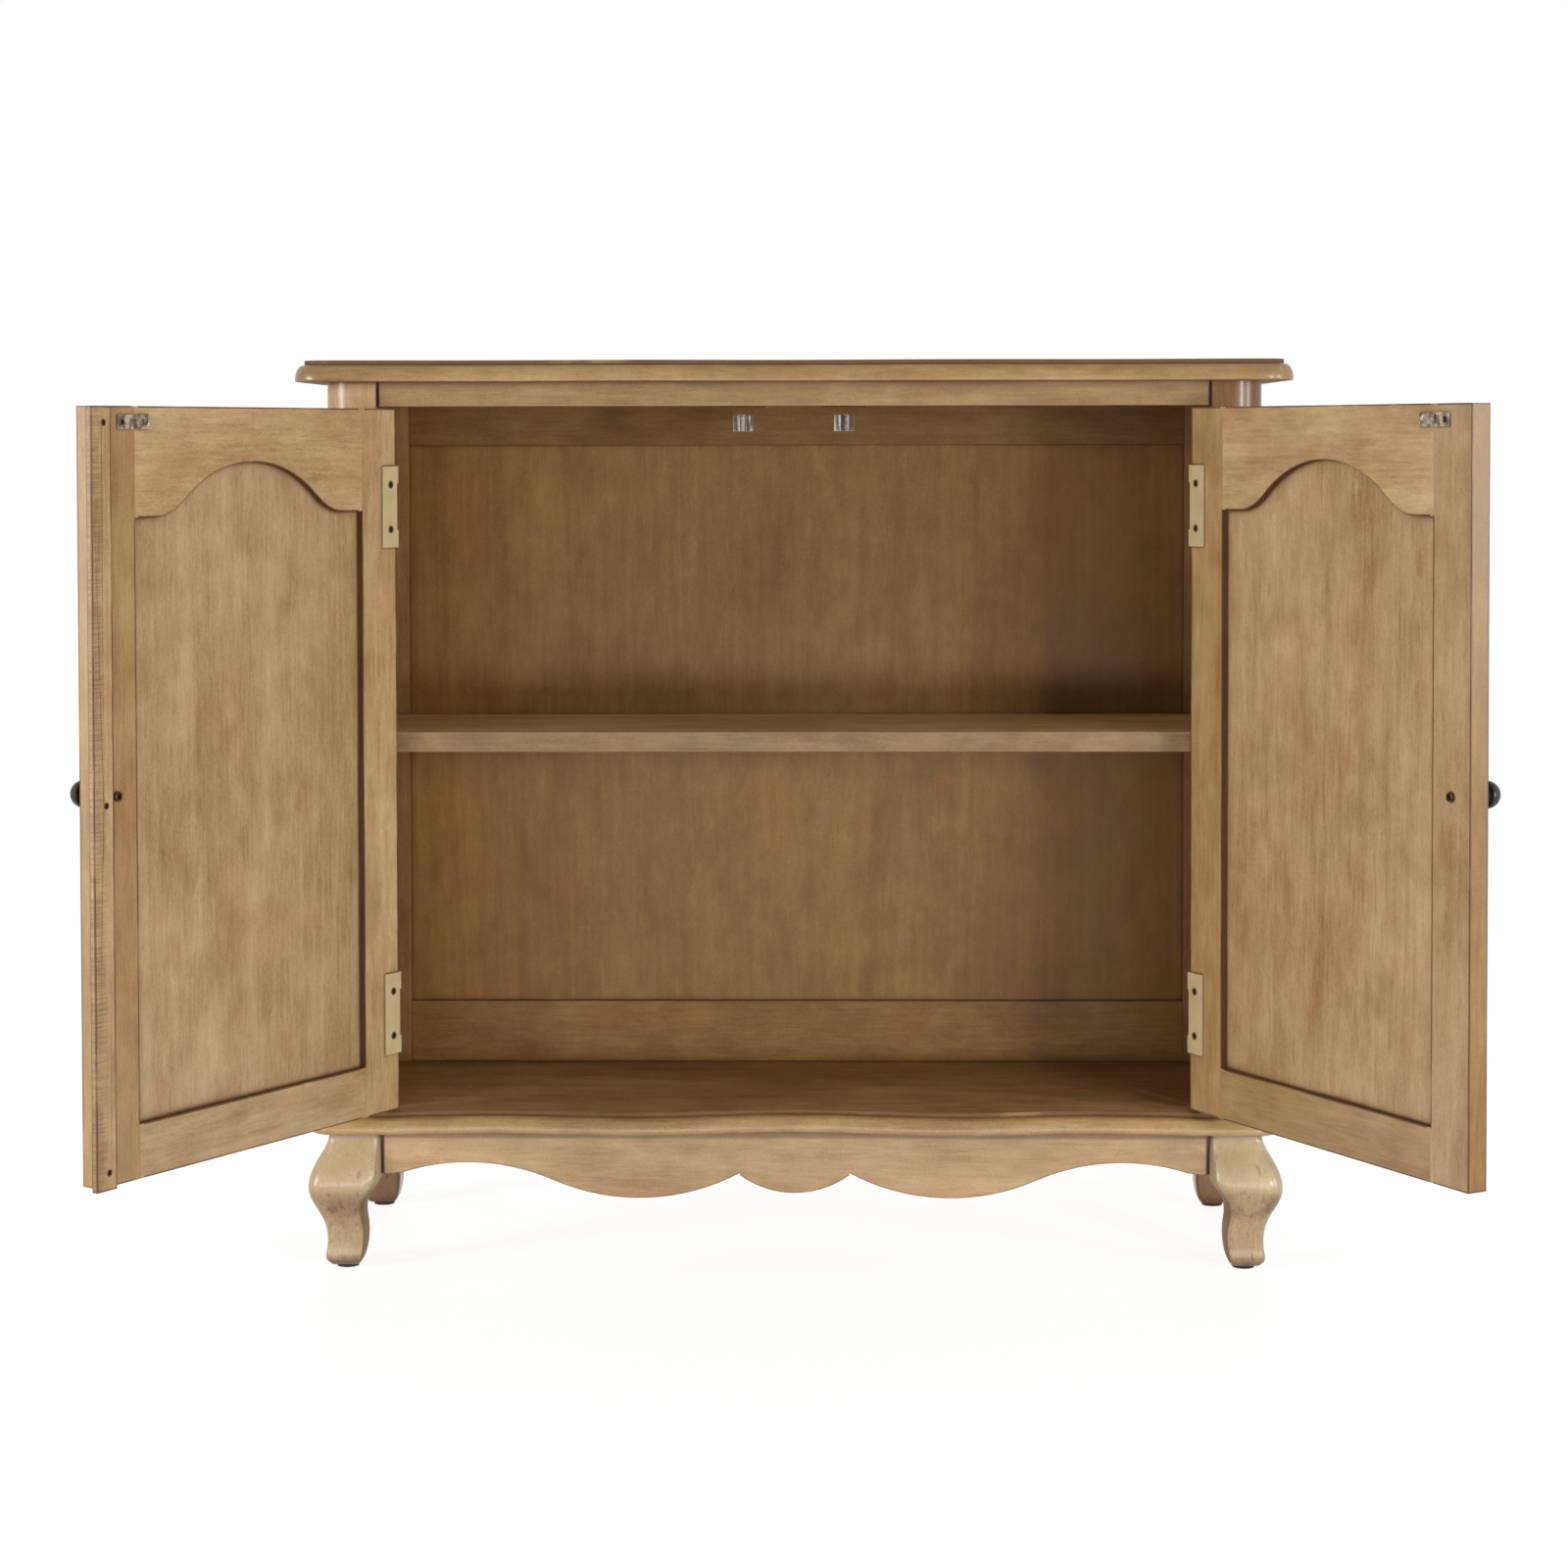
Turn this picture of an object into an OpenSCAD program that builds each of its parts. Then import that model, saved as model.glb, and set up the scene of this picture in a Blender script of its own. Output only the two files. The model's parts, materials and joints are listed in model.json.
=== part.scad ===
// Accent cabinet with a shaped top, two arched panel doors, a shelf and short bowed feet.
// Millimetres, +Z up, the front faces -Y. Z 0 is the floor. X 0 is the middle of the case.
// Y 0 lies midway between the back of the top and the free edges of the open doors.
// Pieces are drawn with the face of the corner posts on Y 0 and then moved back by front_y.

/* [Case] */
// Height from the floor to the top surface
total_h = 864; // [800:1:940]
// Width of the case over the corner posts
case_w = 888; // [820:2:980]
// Depth of the case over the corner posts
case_d = 280; // [260:1:360]
// How far the front of the case stands behind the origin
front_y = 36; // [0:1:60]
// Width and depth of a corner post
post_w = 50; // [46:1:58]
// Radius of the rounded outer corner of a post
post_r = 18; // [8:1:22]
// Height of the feet under the bottom board
foot_h = 134; // [130:1:160]
// Thickness of the top board
top_t = 20; // [18:0.5:26]
// Thickness of the bottom board
floor_t = 20; // [18:0.5:26]
// How far the top board overhangs the front of the case
top_front = 32; // [28:1:40]
// How far the top board overhangs each side of the case
top_side = 26; // [18:1:34]
// How far the top board overhangs the back of the case
top_back = 3; // [0:0.5:6]
// How far the bottom board overhangs the front of the case
floor_front = 28; // [24:1:36]
// How far the bottom board overhangs each side of the case
floor_side = 15; // [10:1:20]
// How far the waved front edge is set back in the middle
dip_mid = 16; // [0:1:18]
// How far the waved front edge is set back beside the corners
dip_side = 10; // [0:1:14]
// Height of the rail over the doors
front_rail_h = 23; // [20:1:30]
// Depth of the rail over the doors
front_rail_d = 44; // [42:1:46]
// Width of the shadow gap beside a front rail or apron
reveal = 3; // [2:0.5:5]
// Depth of the shadow gap
reveal_d = 5; // [3:0.5:8]

/* [Back and sides] */
// Thickness of a side board
side_t = 14; // [12:1:18]
// How far a side board is set in from the face of the posts
side_set = 5; // [3:0.5:7]
// Thickness of the tongues and of the grooves that hold them
tongue_t = 6; // [5:0.5:7]
// Length of the tongues on boards, rails and panels
tongue_l = 7; // [5:0.5:8]
// Thickness of the back rails
back_rail_t = 18; // [16:1:20]
// Height of the upper back rail
back_top_h = 60; // [45:1:70]
// Height of the lower back rail
back_low_h = 62; // [50:1:80]
// How far the back rails stand behind the front of the rear posts
back_set = 1; // [0:0.5:3]

/* [Aprons and feet] */
// Thickness of the aprons
apron_t = 18; // [15:1:20]
// How far the aprons are set back from the face of the feet
apron_set = 2; // [1:0.5:5]
// Depth of the front apron at its ends
apron_end = 44; // [40:1:46]
// Depth of the front apron at the top of its arches
apron_arch = 32; // [26:1:36]
// Depth of the front apron at its outer lobes
apron_lobe = 66; // [60:1:70]
// Depth of the front apron at its cusps
apron_cusp = 44; // [40:1:48]
// Depth of the front apron at its middle lobe
apron_mid = 61; // [56:1:64]
// Distance of a cusp from the middle
cusp_x = 52; // [46:1:60]
// Distance of an outer lobe from the middle
lobe_x = 148; // [140:1:156]
// Distance of an arch from the middle
arch_x = 311; // [300:1:320]
// Diameter of a foot glide
glide_d = 21; // [18:1:24]
// Thickness of a foot glide
glide_t = 4; // [3:0.5:5]
// Diameter of the nail of a foot glide
glide_nail_d = 3; // [2:0.5:4]
// Length of the nail of a foot glide
glide_nail_l = 16; // [10:1:22]

/* [Shelf] */
// Height of the top of the shelf above the floor
shelf_z = 510; // [420:1:560]
// Thickness of the shelf
shelf_t = 19; // [15:1:22]
// How far the shelf is set back from the face of the posts
shelf_set = 28; // [28:1:34]
// Play between the shelf and the case
shelf_play = 0.5; // [0.3:0.1:1]
// Diameter of a shelf pin
shelf_pin_d = 5; // [4:0.5:7]
// Length of a shelf pin outside the side board
shelf_pin_out = 10; // [8:1:14]
// Length of a shelf pin inside the side board
shelf_pin_in = 8; // [6:1:9]

/* [Doors] */
// How far the left door stands open
left_open = 122.5; // [0:0.5:175]
// How far the right door stands open
right_open = 120; // [0:0.5:175]
// Thickness of a door
door_t = 19.5; // [18:0.5:22]
// Gap between a door and its post
gap_side = 4; // [3.8:0.1:5]
// Gap between the two doors
gap_mid = 3; // [2.5:0.1:4]
// Gap above a door
gap_top = 2.5; // [2:0.1:4]
// Gap under a door
gap_low = 3.5; // [2:0.1:5]
// Width of the stiles of a door
stile_w = 48; // [44:1:54]
// Height of the lower rail of a door
low_rail_h = 47; // [42:1:60]
// Height of the upper rail of a door at its ends
top_rail_h = 95; // [88:1:110]
// Height of the upper rail of a door over the arch
arch_rail_h = 48; // [42:1:60]
// Width of the flat shoulder at each end of the arch
arch_shoulder = 22; // [14:1:30]
// Radius of the crown of the arch
crown_r = 130; // [110:1:140]
// How far the panel is set in from the inner face of the door
panel_set = 6; // [5:0.5:6.5]
// Play between a panel and the bottom of its groove
panel_play = 0.5; // [0.3:0.1:1]
// Width of the sunk border round the raised field outside
field_border = 26; // [18:1:32]
// Height of the raised field outside
field_t = 4; // [2:0.5:5]
// Width of the cover strip on the left door
strip_w = 23; // [20:1:26]
// Thickness of the cover strip
strip_t = 6.5; // [5:0.5:7]
// How far the cover strip reaches past the left door
strip_lap = 9; // [7:0.5:10]
// Gap between the cover strip and the back of the right door
strip_gap = 0.5; // [0.4:0.1:1]

/* [Hardware] */
// Length of a hinge
hinge_h = 76; // [64:1:90]
// Distance of a hinge from the end of the door
hinge_inset = 54; // [40:1:80]
// Thickness of the hinge leaves
leaf_t = 1.8; // [1.4:0.1:1.8]
// Width of the door leaf on the back of the door
leaf_w = 20; // [17:1:24]
// Width of the frame leaf on the post
frame_leaf_w = 22; // [18:1:26]
// Height of each end of the door leaf that turns round the edge
leaf_tab_h = 16; // [13:1:18]
// Play between the leaves along the pin
leaf_play = 0.4; // [0.2:0.1:0.8]
// Diameter of the hinge barrel
barrel_d = 6.4; // [5.6:0.2:6.8]
// Diameter of the hinge pin
pin_d = 3; // [2.5:0.1:3.4]
// Play of the hinge pin in the door leaf, on the radius
pin_play = 0.06; // [0.03:0.01:0.1]
// Distance of the hinge pin in front of the door
pin_front = 3.6; // [3.6:0.1:4.4]
// Diameter of a knob
knob_d = 24; // [20:1:28]
// Projection of a knob from the door
knob_out = 31; // [24:1:36]
// Distance of a knob from the free edge of its door
knob_edge = 24; // [20:1:30]
// Diameter of the screw that holds a knob
knob_screw_d = 4; // [3:0.5:5]
// Diameter of the small wood screws
screw_d = 3; // [2.5:0.1:3.4]
// Diameter of the heads of the small wood screws
screw_head_d = 5.8; // [5:0.1:6.4]
// Distance of a catch from the middle of the case
catch_x = 48; // [44:1:60]
// Width of a catch body
catch_w = 19; // [18:0.5:22]
// Height of a catch body under the front rail
catch_h = 24; // [22:1:26]
// Depth of a catch body
catch_d = 17; // [16:1:18]
// How far a catch is set back from the face of the posts
catch_set = 22; // [22:0.5:23]
// Width of the slot in a catch body
slot_w = 6; // [5.6:0.2:7]
// Diameter of a catch ball
ball_d = 5.2; // [4.8:0.1:5.4]
// How far a catch ball reaches into the slot
ball_out = 1; // [0.8:0.1:1]
// Play of a catch ball in its bore, on the radius
ball_play = 0.08; // [0.05:0.01:0.15]
// Height of the middle of the catch under the top of the door
strike_drop = 13.5; // [12:0.5:15]
// Length of a strike plate
strike_l = 38; // [34:1:44]
// Height of a strike plate
strike_h = 12; // [10:1:14]
// Thickness of a strike plate
strike_t = 1.2; // [1:0.1:1.6]
// Thickness of the tongue of a strike
tongue_w = 2.8; // [2.2:0.1:3]
// Length of the tongue of a strike
tongue_out = 15; // [12:0.5:15]

/* [Hidden] */
$fn = 48;
eps = 0.01;

// Colours of the finishes
wood = "#b39465";
wood_inside = "#8a6a43";
wood_edge = "#a5865a";
leaf_colour = "#c2ad82";
dark_metal = "#2c2926";
steel = "#a8a6a0";

// Heights of the case
floor_z = foot_h + floor_t;
top_z = total_h - top_t;
rail_z = top_z - front_rail_h;

// Half widths and depths of the case
half_w = case_w / 2;
open_x = half_w - post_w;
rear_y = case_d - post_w;
side_out = half_w - side_set;
side_in = side_out - side_t;
back_face = rear_y + back_set;
back_panel_y = back_face + (back_rail_t - tongue_t) / 2;

// Doors, drawn closed from the hinge pin: X runs to the free edge, Y into the case
pin_x = open_x - gap_side / 2;
pin_y = -pin_front;
door_x = gap_side / 2;
door_y = pin_front;
door_w = (2 * open_x - 2 * gap_side - gap_mid) / 2;
door_z = floor_z + gap_low;
door_h = rail_z - gap_top - door_z;
door_back = door_y + door_t;
free_x = door_x + door_w;
panel_back = door_back - panel_set;
groove_y = panel_back - tongue_t;
opening_x = door_x + stile_w;
opening_w = door_w - 2 * stile_w;
opening_z = door_z + low_rail_h;
shoulder_z = door_z + door_h - top_rail_h;
apex_z = door_z + door_h - arch_rail_h;
knob_x = free_x - knob_edge;
knob_z = door_z + door_h / 2;
strike_x = pin_x - catch_x;
strike_z = door_z + door_h - strike_drop;
low_hinge_z = door_z + hinge_inset;
high_hinge_z = door_z + door_h - hinge_inset - hinge_h;
frame_leaf_h = hinge_h - 2 * leaf_tab_h - 2 * leaf_play;
strip_under = 1;
strip_short = 0.5;

// Catches: the slot is open to the front and below, and a ball has spring room behind it
ball_y = catch_set + catch_d / 2;
ball_x = slot_w / 2 - ball_out + ball_d / 2;
ball_room = 1.2;
bore_end = ball_x + ball_d / 2 + ball_room;
slot_wall = 2;
slot_over = 7;
flange_l = 42;
flange_t = 1.5;
flange_screw_x = 16.5;
tongue_r = 4;

// Screws
screw_head_h = 1.4;
leaf_screw_l = 13;
strike_screw_x = 14;
strip_screw_l = 18;
strip_screw_end = 14;
strip_screw_mid = 6;
strip_screw_in = 5.3;
knob_screw_in = 11;
frame_screw_in = 7;
frame_screw_z = 13;
door_screw_in = 9;
door_screw_z = 21;

// Aprons, corner blocks and shelf pins
apron_flat = 18;
apron_tenon_back = 4;
side_arch_rise = 14;
side_arch_end = 12;
block_h = 32;
block_reach = 40;
shelf_pin_inset = 30;

// Knob outline: share of its radius and of its projection, up to the rim of the domed cap
knob_neck = [[0.66, 0], [0.66, 0.08], [0.5, 0.14], [0.42, 0.24], [0.42, 0.42], [0.7, 0.53],
             [0.94, 0.57]];
knob_cap = 0.62;

// Feet under a post 50 wide: height as a share of the foot, how far the outer faces bulge past
// the post, and how far the inner faces lie from the outer face of the post
foot_table_w = 50;
foot_grow = post_w / foot_table_w;
foot_table = [
    [0.030, -1.5, 29], [0.055, 1.6, 31.2], [0.090, 2.8, 32.8], [0.150, 1.6, 34.3],
    [0.225, 1.3, 35], [0.300, 2.6, 34.6], [0.375, 6.4, 33.9], [0.450, 11.6, 34.6],
    [0.510, 15.6, 37], [0.575, 18, 43], [0.645, 17.6, 49.3], [0.715, 14.8, 50],
    [0.790, 9.6, 50], [0.860, 4, 50], [0.930, 0.4, 50], [1.000, 0, 50]
];
foot_levels = 30;
foot_mid = 16.3 * foot_grow;
foot_edge_r = 5;
foot_belly_r = 9;

// Value of a column of the foot table at a share of the height, eased between its rows
function foot_row(u) = max([for (i = [0 : len(foot_table) - 2]) foot_table[i][0] <= u ? i : 0]);
function foot_at(u, c) =
    let (n = len(foot_table) - 1, i = foot_row(u),
         a = foot_table[max(i - 1, 0)], b = foot_table[i],
         d = foot_table[i + 1], e = foot_table[min(i + 2, n)],
         t = (u - b[0]) / (d[0] - b[0]),
         sb = i == 0 ? 0 : (d[c] - a[c]) / (d[0] - a[0]) * (d[0] - b[0]),
         sd = i + 1 == n ? 0 : (e[c] - b[c]) / (e[0] - b[0]) * (d[0] - b[0]))
    (2 * t ^ 3 - 3 * t ^ 2 + 1) * b[c] + (t ^ 3 - 2 * t ^ 2 + t) * sb
    + (3 * t ^ 2 - 2 * t ^ 3) * d[c] + (t ^ 3 - t ^ 2) * sd;

// Rectangle with rounded corners at the height z, as a list of points
function round_ring(x0, x1, y0, y1, r, z) = [
    for (k = [0 : 3], j = [0 : 4])
        let (a = 90 * k + 90 * j / 4, cx = k == 0 || k == 3 ? x1 - r : x0 + r,
             cy = k < 2 ? y1 - r : y0 + r)
        [cx + r * cos(a), cy + r * sin(a), z]
];

// Solid through a stack of rings that all have the same number of points
module loft(rings) {
    n = len(rings[0]);
    m = len(rings);
    polyhedron(
        points = [for (ring = rings, p = ring) p],
        faces = concat(
            [[for (i = [0 : n - 1]) i]],
            [[for (i = [n - 1 : -1 : 0]) (m - 1) * n + i]],
            [for (k = [0 : m - 2], i = [0 : n - 1])
                [k * n + i, (k + 1) * n + i, (k + 1) * n + (i + 1) % n, k * n + (i + 1) % n]]
        )
    );
}

// How far the waved front edge is set back at x, on a board of half width w
function wave(x, w) =
    let (lobe = 0.335 * w, end = 0.92 * w, a = abs(x))
    a < lobe ? dip_mid * (1 + cos(180 * a / lobe)) / 2
    : a < end ? dip_side * (1 - cos(360 * (a - lobe) / (end - lobe))) / 2
    : 0;

// Outline of a board with waved front, round front corners and a square back, drawn in by d
function board_ring(w, front, back, r, d, z) =
    let (x = w - d, y = d - front, q = max(r - d, 1), steps = 6, waves = 60)
    [
        [x, back, z],
        [-x, back, z],
        for (j = [0 : steps]) [q - x - q * cos(90 * j / steps), y + q - q * sin(90 * j / steps), z],
        for (i = [1 : waves - 1]) let (s = (q - x) + 2 * (x - q) * i / waves) [s, y + wave(s, w), z],
        for (j = [steps : -1 : 0]) [x - q + q * cos(90 * j / steps), y + q - q * sin(90 * j / steps), z]
    ];

// Edge moulding: a small upper fillet, a quarter round below it and an eased lower edge.
// Each row is the distance drawn in from the widest line and the depth under the top.
function moulding(t) =
    let (fillet = 0.2 * t, inset = 0.45 * t, ease = 0.2 * t, belly = 0.7 * t,
         quirk = 1.5, arc = inset - quirk, start = fillet + quirk / 3)
    concat(
        [[inset, 0], [inset, fillet]],
        [for (j = [0 : 5]) [arc - arc * sin(18 * j), belly - (belly - start) * cos(18 * j)]],
        [for (j = [1 : 3]) [ease - ease * cos(30 * j), belly + (t - belly) * sin(30 * j)]]
    );

module moulded_board(w, front, back, r, t, z_top) {
    loft([for (m = moulding(t)) board_ring(w, front, back, r, m[0], z_top - m[1])]);
}

// Moves a piece from the face of the posts to its place in the frame
module home() {
    translate([0, front_y, 0]) children();
}

// Places a piece of a door, drawn closed from the hinge pin, on the left (-1) or right (1)
module on_door(side) {
    home()
        mirror([side > 0 ? 1 : 0, 0, 0])
            translate([-pin_x, pin_y, 0])
                rotate([0, 0, side > 0 ? -right_open : -left_open])
                    children();
}

// A piece drawn on the left is mirrored to the right
module on_side(side) {
    home() mirror([side > 0 ? 1 : 0, 0, 0]) children();
}

module box(x0, x1, y0, y1, z0, z1) {
    translate([x0, y0, z0]) cube([x1 - x0, y1 - y0, z1 - z0]);
}

// Countersunk screw along -Z with its head flush with Z 0
module flat_screw(l) {
    translate([0, 0, -screw_head_h]) cylinder(h = screw_head_h, d1 = screw_d, d2 = screw_head_d);
    translate([0, 0, -l]) cylinder(h = l - screw_head_h + eps, d = screw_d);
}

// Pan head screw along -Z with its head standing on Z 0
module pan_screw(l, d, head_d, head_h) {
    cylinder(h = head_h, d = head_d);
    translate([0, 0, -l]) cylinder(h = l + eps, d = d);
}

module top_board() {
    color(wood)
        home()
            moulded_board(half_w + top_side, top_front, case_d + top_back, 30, top_t, total_h);
}

module bottom_board() {
    color(wood)
        home()
            moulded_board(half_w + floor_side, floor_front, case_d, 26, floor_t, floor_z);
}

// Post on the left: its outer corner is rounded towards the front or the back
module post_plan(front) {
    y_out = front ? 0 : post_w;
    y_mid = front ? post_r : post_w - post_r;
    difference() {
        square(post_w);
        translate([0, front ? 0 : y_mid]) square(post_r);
    }
    intersection() {
        translate([post_r, y_mid]) circle(post_r);
        translate([0, min(y_out, y_mid)]) square(post_r);
    }
}

module post(side, front) {
    y0 = front ? 0 : rear_y;
    color(wood)
        on_side(side)
            difference() {
                translate([-half_w, y0, floor_z])
                    linear_extrude(top_z - floor_z) post_plan(front);
                side_groove(front ? post_w - tongue_l : rear_y, front ? post_w : rear_y + tongue_l);
                if (front) {
                    rail_socket();
                    for (z = [low_hinge_z, high_hinge_z])
                        frame_leaf_screw_places(z) flat_screw(leaf_screw_l);
                } else {
                    box(-open_x - tongue_l, -open_x + eps, back_panel_y, back_panel_y + tongue_t,
                        floor_z - 1, top_z + 1);
                }
            }
}

// Groove in a post that takes the tongue of the side board
module side_groove(y0, y1) {
    mid = side_in + side_t / 2;
    box(-mid - tongue_t / 2, -mid + tongue_t / 2, y0 - eps, y1 + eps, floor_z - 1, top_z + 1);
}

// Socket in a front post that takes the tenon of the front rail
module rail_socket() {
    box(-open_x - tongue_l, -open_x + eps, reveal_d, front_rail_d - reveal_d, rail_z, top_z + 1);
}

module front_left_post() post(-1, true);
module front_right_post() post(1, true);
module back_left_post() post(-1, false);
module back_right_post() post(1, false);

module front_rail() {
    x = open_x - reveal;
    tenon = open_x + tongue_l - panel_play;
    color(wood)
        home()
            difference() {
                union() {
                    box(-x, x, 0, front_rail_d, rail_z, top_z);
                    box(-open_x, open_x, reveal_d, front_rail_d, rail_z, top_z);
                    box(-tenon, tenon, reveal_d, front_rail_d - reveal_d, rail_z, top_z);
                }
                for (s = [-1, 1])
                    catch_screw_places(s) flat_screw(leaf_screw_l);
            }
}

// Rail of the back frame, with a groove for the panel in its upper or lower edge
module back_rail(z0, z1, groove_up) {
    tenon = open_x + tongue_l - panel_play;
    g0 = groove_up ? z1 - tongue_l : z0 - eps;
    g1 = groove_up ? z1 + eps : z0 + tongue_l;
    home()
        difference() {
            union() {
                box(-open_x, open_x, back_face, back_face + back_rail_t, z0, z1);
                box(-tenon, tenon, back_panel_y, back_panel_y + tongue_t, z0, z1);
            }
            box(-tenon - 1, tenon + 1, back_panel_y, back_panel_y + tongue_t, g0, g1);
        }
}

module back_top_rail() {
    color(wood_inside) back_rail(top_z - back_top_h, top_z, false);
}

module back_bottom_rail() {
    color(wood_inside) back_rail(floor_z, floor_z + back_low_h, true);
}

module back_panel() {
    x = open_x + tongue_l - panel_play;
    z0 = floor_z + back_low_h - tongue_l + panel_play;
    z1 = top_z - back_top_h + tongue_l - panel_play;
    color(wood_inside)
        home() box(-x, x, back_panel_y, back_panel_y + tongue_t, z0, z1);
}

module side_board(side) {
    mid = side_in + side_t / 2;
    reach = tongue_l - panel_play;
    color(wood)
        on_side(side)
            difference() {
                union() {
                    box(-side_out, -side_in, post_w, rear_y, floor_z, top_z);
                    box(-mid - tongue_t / 2, -mid + tongue_t / 2, post_w - reach, rear_y + reach,
                        floor_z, top_z);
                }
                shelf_pin_places() shelf_pin();
            }
}

module left_side_board() side_board(-1);
module right_side_board() side_board(1);

module shelf_pin() {
    translate([-shelf_pin_in, 0, 0])
        rotate([0, 90, 0]) cylinder(h = shelf_pin_in + shelf_pin_out, d = shelf_pin_d);
}

module shelf_pin_places() {
    for (y = [post_w + shelf_pin_inset, rear_y - shelf_pin_inset])
        translate([-side_in, y, shelf_z - shelf_t - shelf_pin_d / 2]) children();
}

module shelf_pins() {
    color(steel)
        for (side = [-1, 1])
            on_side(side) shelf_pin_places() shelf_pin();
}

module shelf() {
    x = side_in - shelf_play;
    notch = post_w + shelf_play;
    color(wood_edge)
        home()
            difference() {
                box(-x, x, shelf_set, rear_y - shelf_play, shelf_z - shelf_t, shelf_z);
                for (side = [-1, 1])
                    mirror([side > 0 ? 1 : 0, 0, 0])
                        box(-x - 1, -open_x + shelf_play, shelf_set - 1, notch, 0, total_h);
            }
}

// Points on an arc round cx and cz, with the angle counted from straight down
function arc_points(cx, cz, r, a0, a1, steps) =
    [for (j = [0 : steps]) let (a = a0 + (a1 - a0) * j / steps) [cx + r * sin(a), cz - r * cos(a)]];

// Lower edge of half the front apron, from the middle to its flat end. The arch and the outer
// lobe meet in two equal arcs, and the middle lobe runs to the cusps.
function apron_edge(z_top, x_end) =
    let (rise = apron_lobe - apron_arch, run = arch_x - lobe_x,
         turn = 2 * atan(rise / run), r = run / (2 * sin(turn)),
         cusp = asin((lobe_x - cusp_x) / r),
         mid_rise = apron_mid - apron_cusp, mid_r = (cusp_x ^ 2 + mid_rise ^ 2) / (2 * mid_rise),
         end = asin((x_end - arch_x) / r))
    concat(
        arc_points(0, z_top - apron_mid + mid_r, mid_r, 0, asin(cusp_x / mid_r), 8),
        arc_points(lobe_x, z_top - apron_lobe + r, r, -cusp, turn, 16),
        arc_points(arch_x, z_top - apron_arch - r, -r, turn, -end, 14)
    );

module front_apron() {
    x = open_x - reveal;
    tenon = open_x + tongue_l - panel_play;
    edge = apron_edge(foot_h, x - apron_flat);
    half = concat(edge, [[x, foot_h - apron_end], [x, foot_h]]);
    color(wood)
        home() {
            translate([0, apron_set + apron_t, 0])
                rotate([90, 0, 0])
                    linear_extrude(apron_t)
                        for (side = [0, 1])
                            mirror([side, 0]) polygon(concat(half, [[0, foot_h]]));
            for (side = [0, 1])
                mirror([side, 0, 0])
                    box(x - eps, tenon, apron_set + reveal_d,
                        apron_set + apron_t - apron_tenon_back, foot_h - apron_end, foot_h);
        }
}

module back_apron() {
    color(wood)
        home()
            box(-open_x, open_x, case_d - apron_set - apron_t, case_d - apron_set,
                foot_h - apron_end, foot_h);
}

// Apron between the two feet of one side, cut with one shallow arch
module side_apron(side) {
    span = case_d / 2 - post_w - side_arch_end;
    r = (span ^ 2 + side_arch_rise ^ 2) / (2 * side_arch_rise);
    color(wood)
        on_side(side)
            difference() {
                box(-half_w + apron_set, -half_w + apron_set + apron_t, post_w, rear_y,
                    foot_h - apron_end, foot_h);
                translate([-half_w, case_d / 2, foot_h - apron_end + side_arch_rise - r])
                    rotate([0, 90, 0]) cylinder(h = 3 * apron_t, r = r);
            }
}

module left_side_apron() side_apron(-1);
module right_side_apron() side_apron(1);

// Foot on the left. It bulges past the post on its outer faces and narrows to the ankle.
// A back foot stays flat behind, so that the cabinet can stand against a wall.
module foot(side, front) {
    low = glide_t / foot_h;
    rings = [
        for (k = [foot_levels : -1 : 0])
            let (u = low + (1 - low) * k / foot_levels,
                 t = max(u, foot_table[0][0]),
                 out = foot_at(t, 1) * foot_grow,
                 wide = min(foot_at(t, 2), foot_table_w) * foot_grow,
                 r = foot_edge_r + foot_belly_r * sin(180 * min(1, (1 - u) * 1.4)))
            round_ring(-out, wide, front ? -out : max(-out, 0), wide, r, u * foot_h)
    ];
    color(wood)
        on_side(side)
            difference() {
                translate([-half_w, front ? 0 : case_d, 0])
                    mirror([0, front ? 0 : 1, 0]) loft(rings);
                if (front) apron_socket();
                glide_places(front) glide();
            }
}

// Socket in a front foot that takes the tenon of the front apron
module apron_socket() {
    box(-open_x - tongue_l, -open_x + eps, apron_set + reveal_d,
        apron_set + apron_t - apron_tenon_back, foot_h - apron_end, foot_h + 1);
}

module front_left_foot() foot(-1, true);
module front_right_foot() foot(1, true);
module back_left_foot() foot(-1, false);
module back_right_foot() foot(1, false);

module glide() {
    cylinder(h = glide_t, d = glide_d);
    cylinder(h = glide_t + glide_nail_l, d = glide_nail_d);
}

module glide_places(front) {
    y = front ? foot_mid : case_d - foot_mid;
    translate([-half_w + foot_mid, y, 0]) children();
}

module foot_glides() {
    color(dark_metal)
        for (side = [-1, 1], front = [true, false])
            on_side(side) glide_places(front) glide();
}

// Block glued into each corner under the bottom board, round the inner corner of the foot
module corner_blocks() {
    x_in = half_w - apron_set - apron_t;
    y_in = apron_set + apron_t;
    color(wood_edge)
        for (side = [-1, 1], back = [0, 1])
            on_side(side)
                translate([0, back * case_d, foot_h - block_h])
                    mirror([0, back, 0])
                        linear_extrude(block_h)
                            polygon([[-open_x, y_in], [block_reach - open_x, y_in],
                                     [-x_in, post_w + block_reach], [-x_in, post_w],
                                     [-open_x, post_w]]);
}

// Catches, drawn at their own middle with the slot along Y
module catch_place(side) {
    translate([side * catch_x, 0, 0]) children();
}

module catch_screw_places(side) {
    for (s = [-1, 1])
        catch_place(side)
            translate([s * flange_screw_x, ball_y, rail_z - flange_t])
                mirror([0, 0, 1]) children();
}

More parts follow.
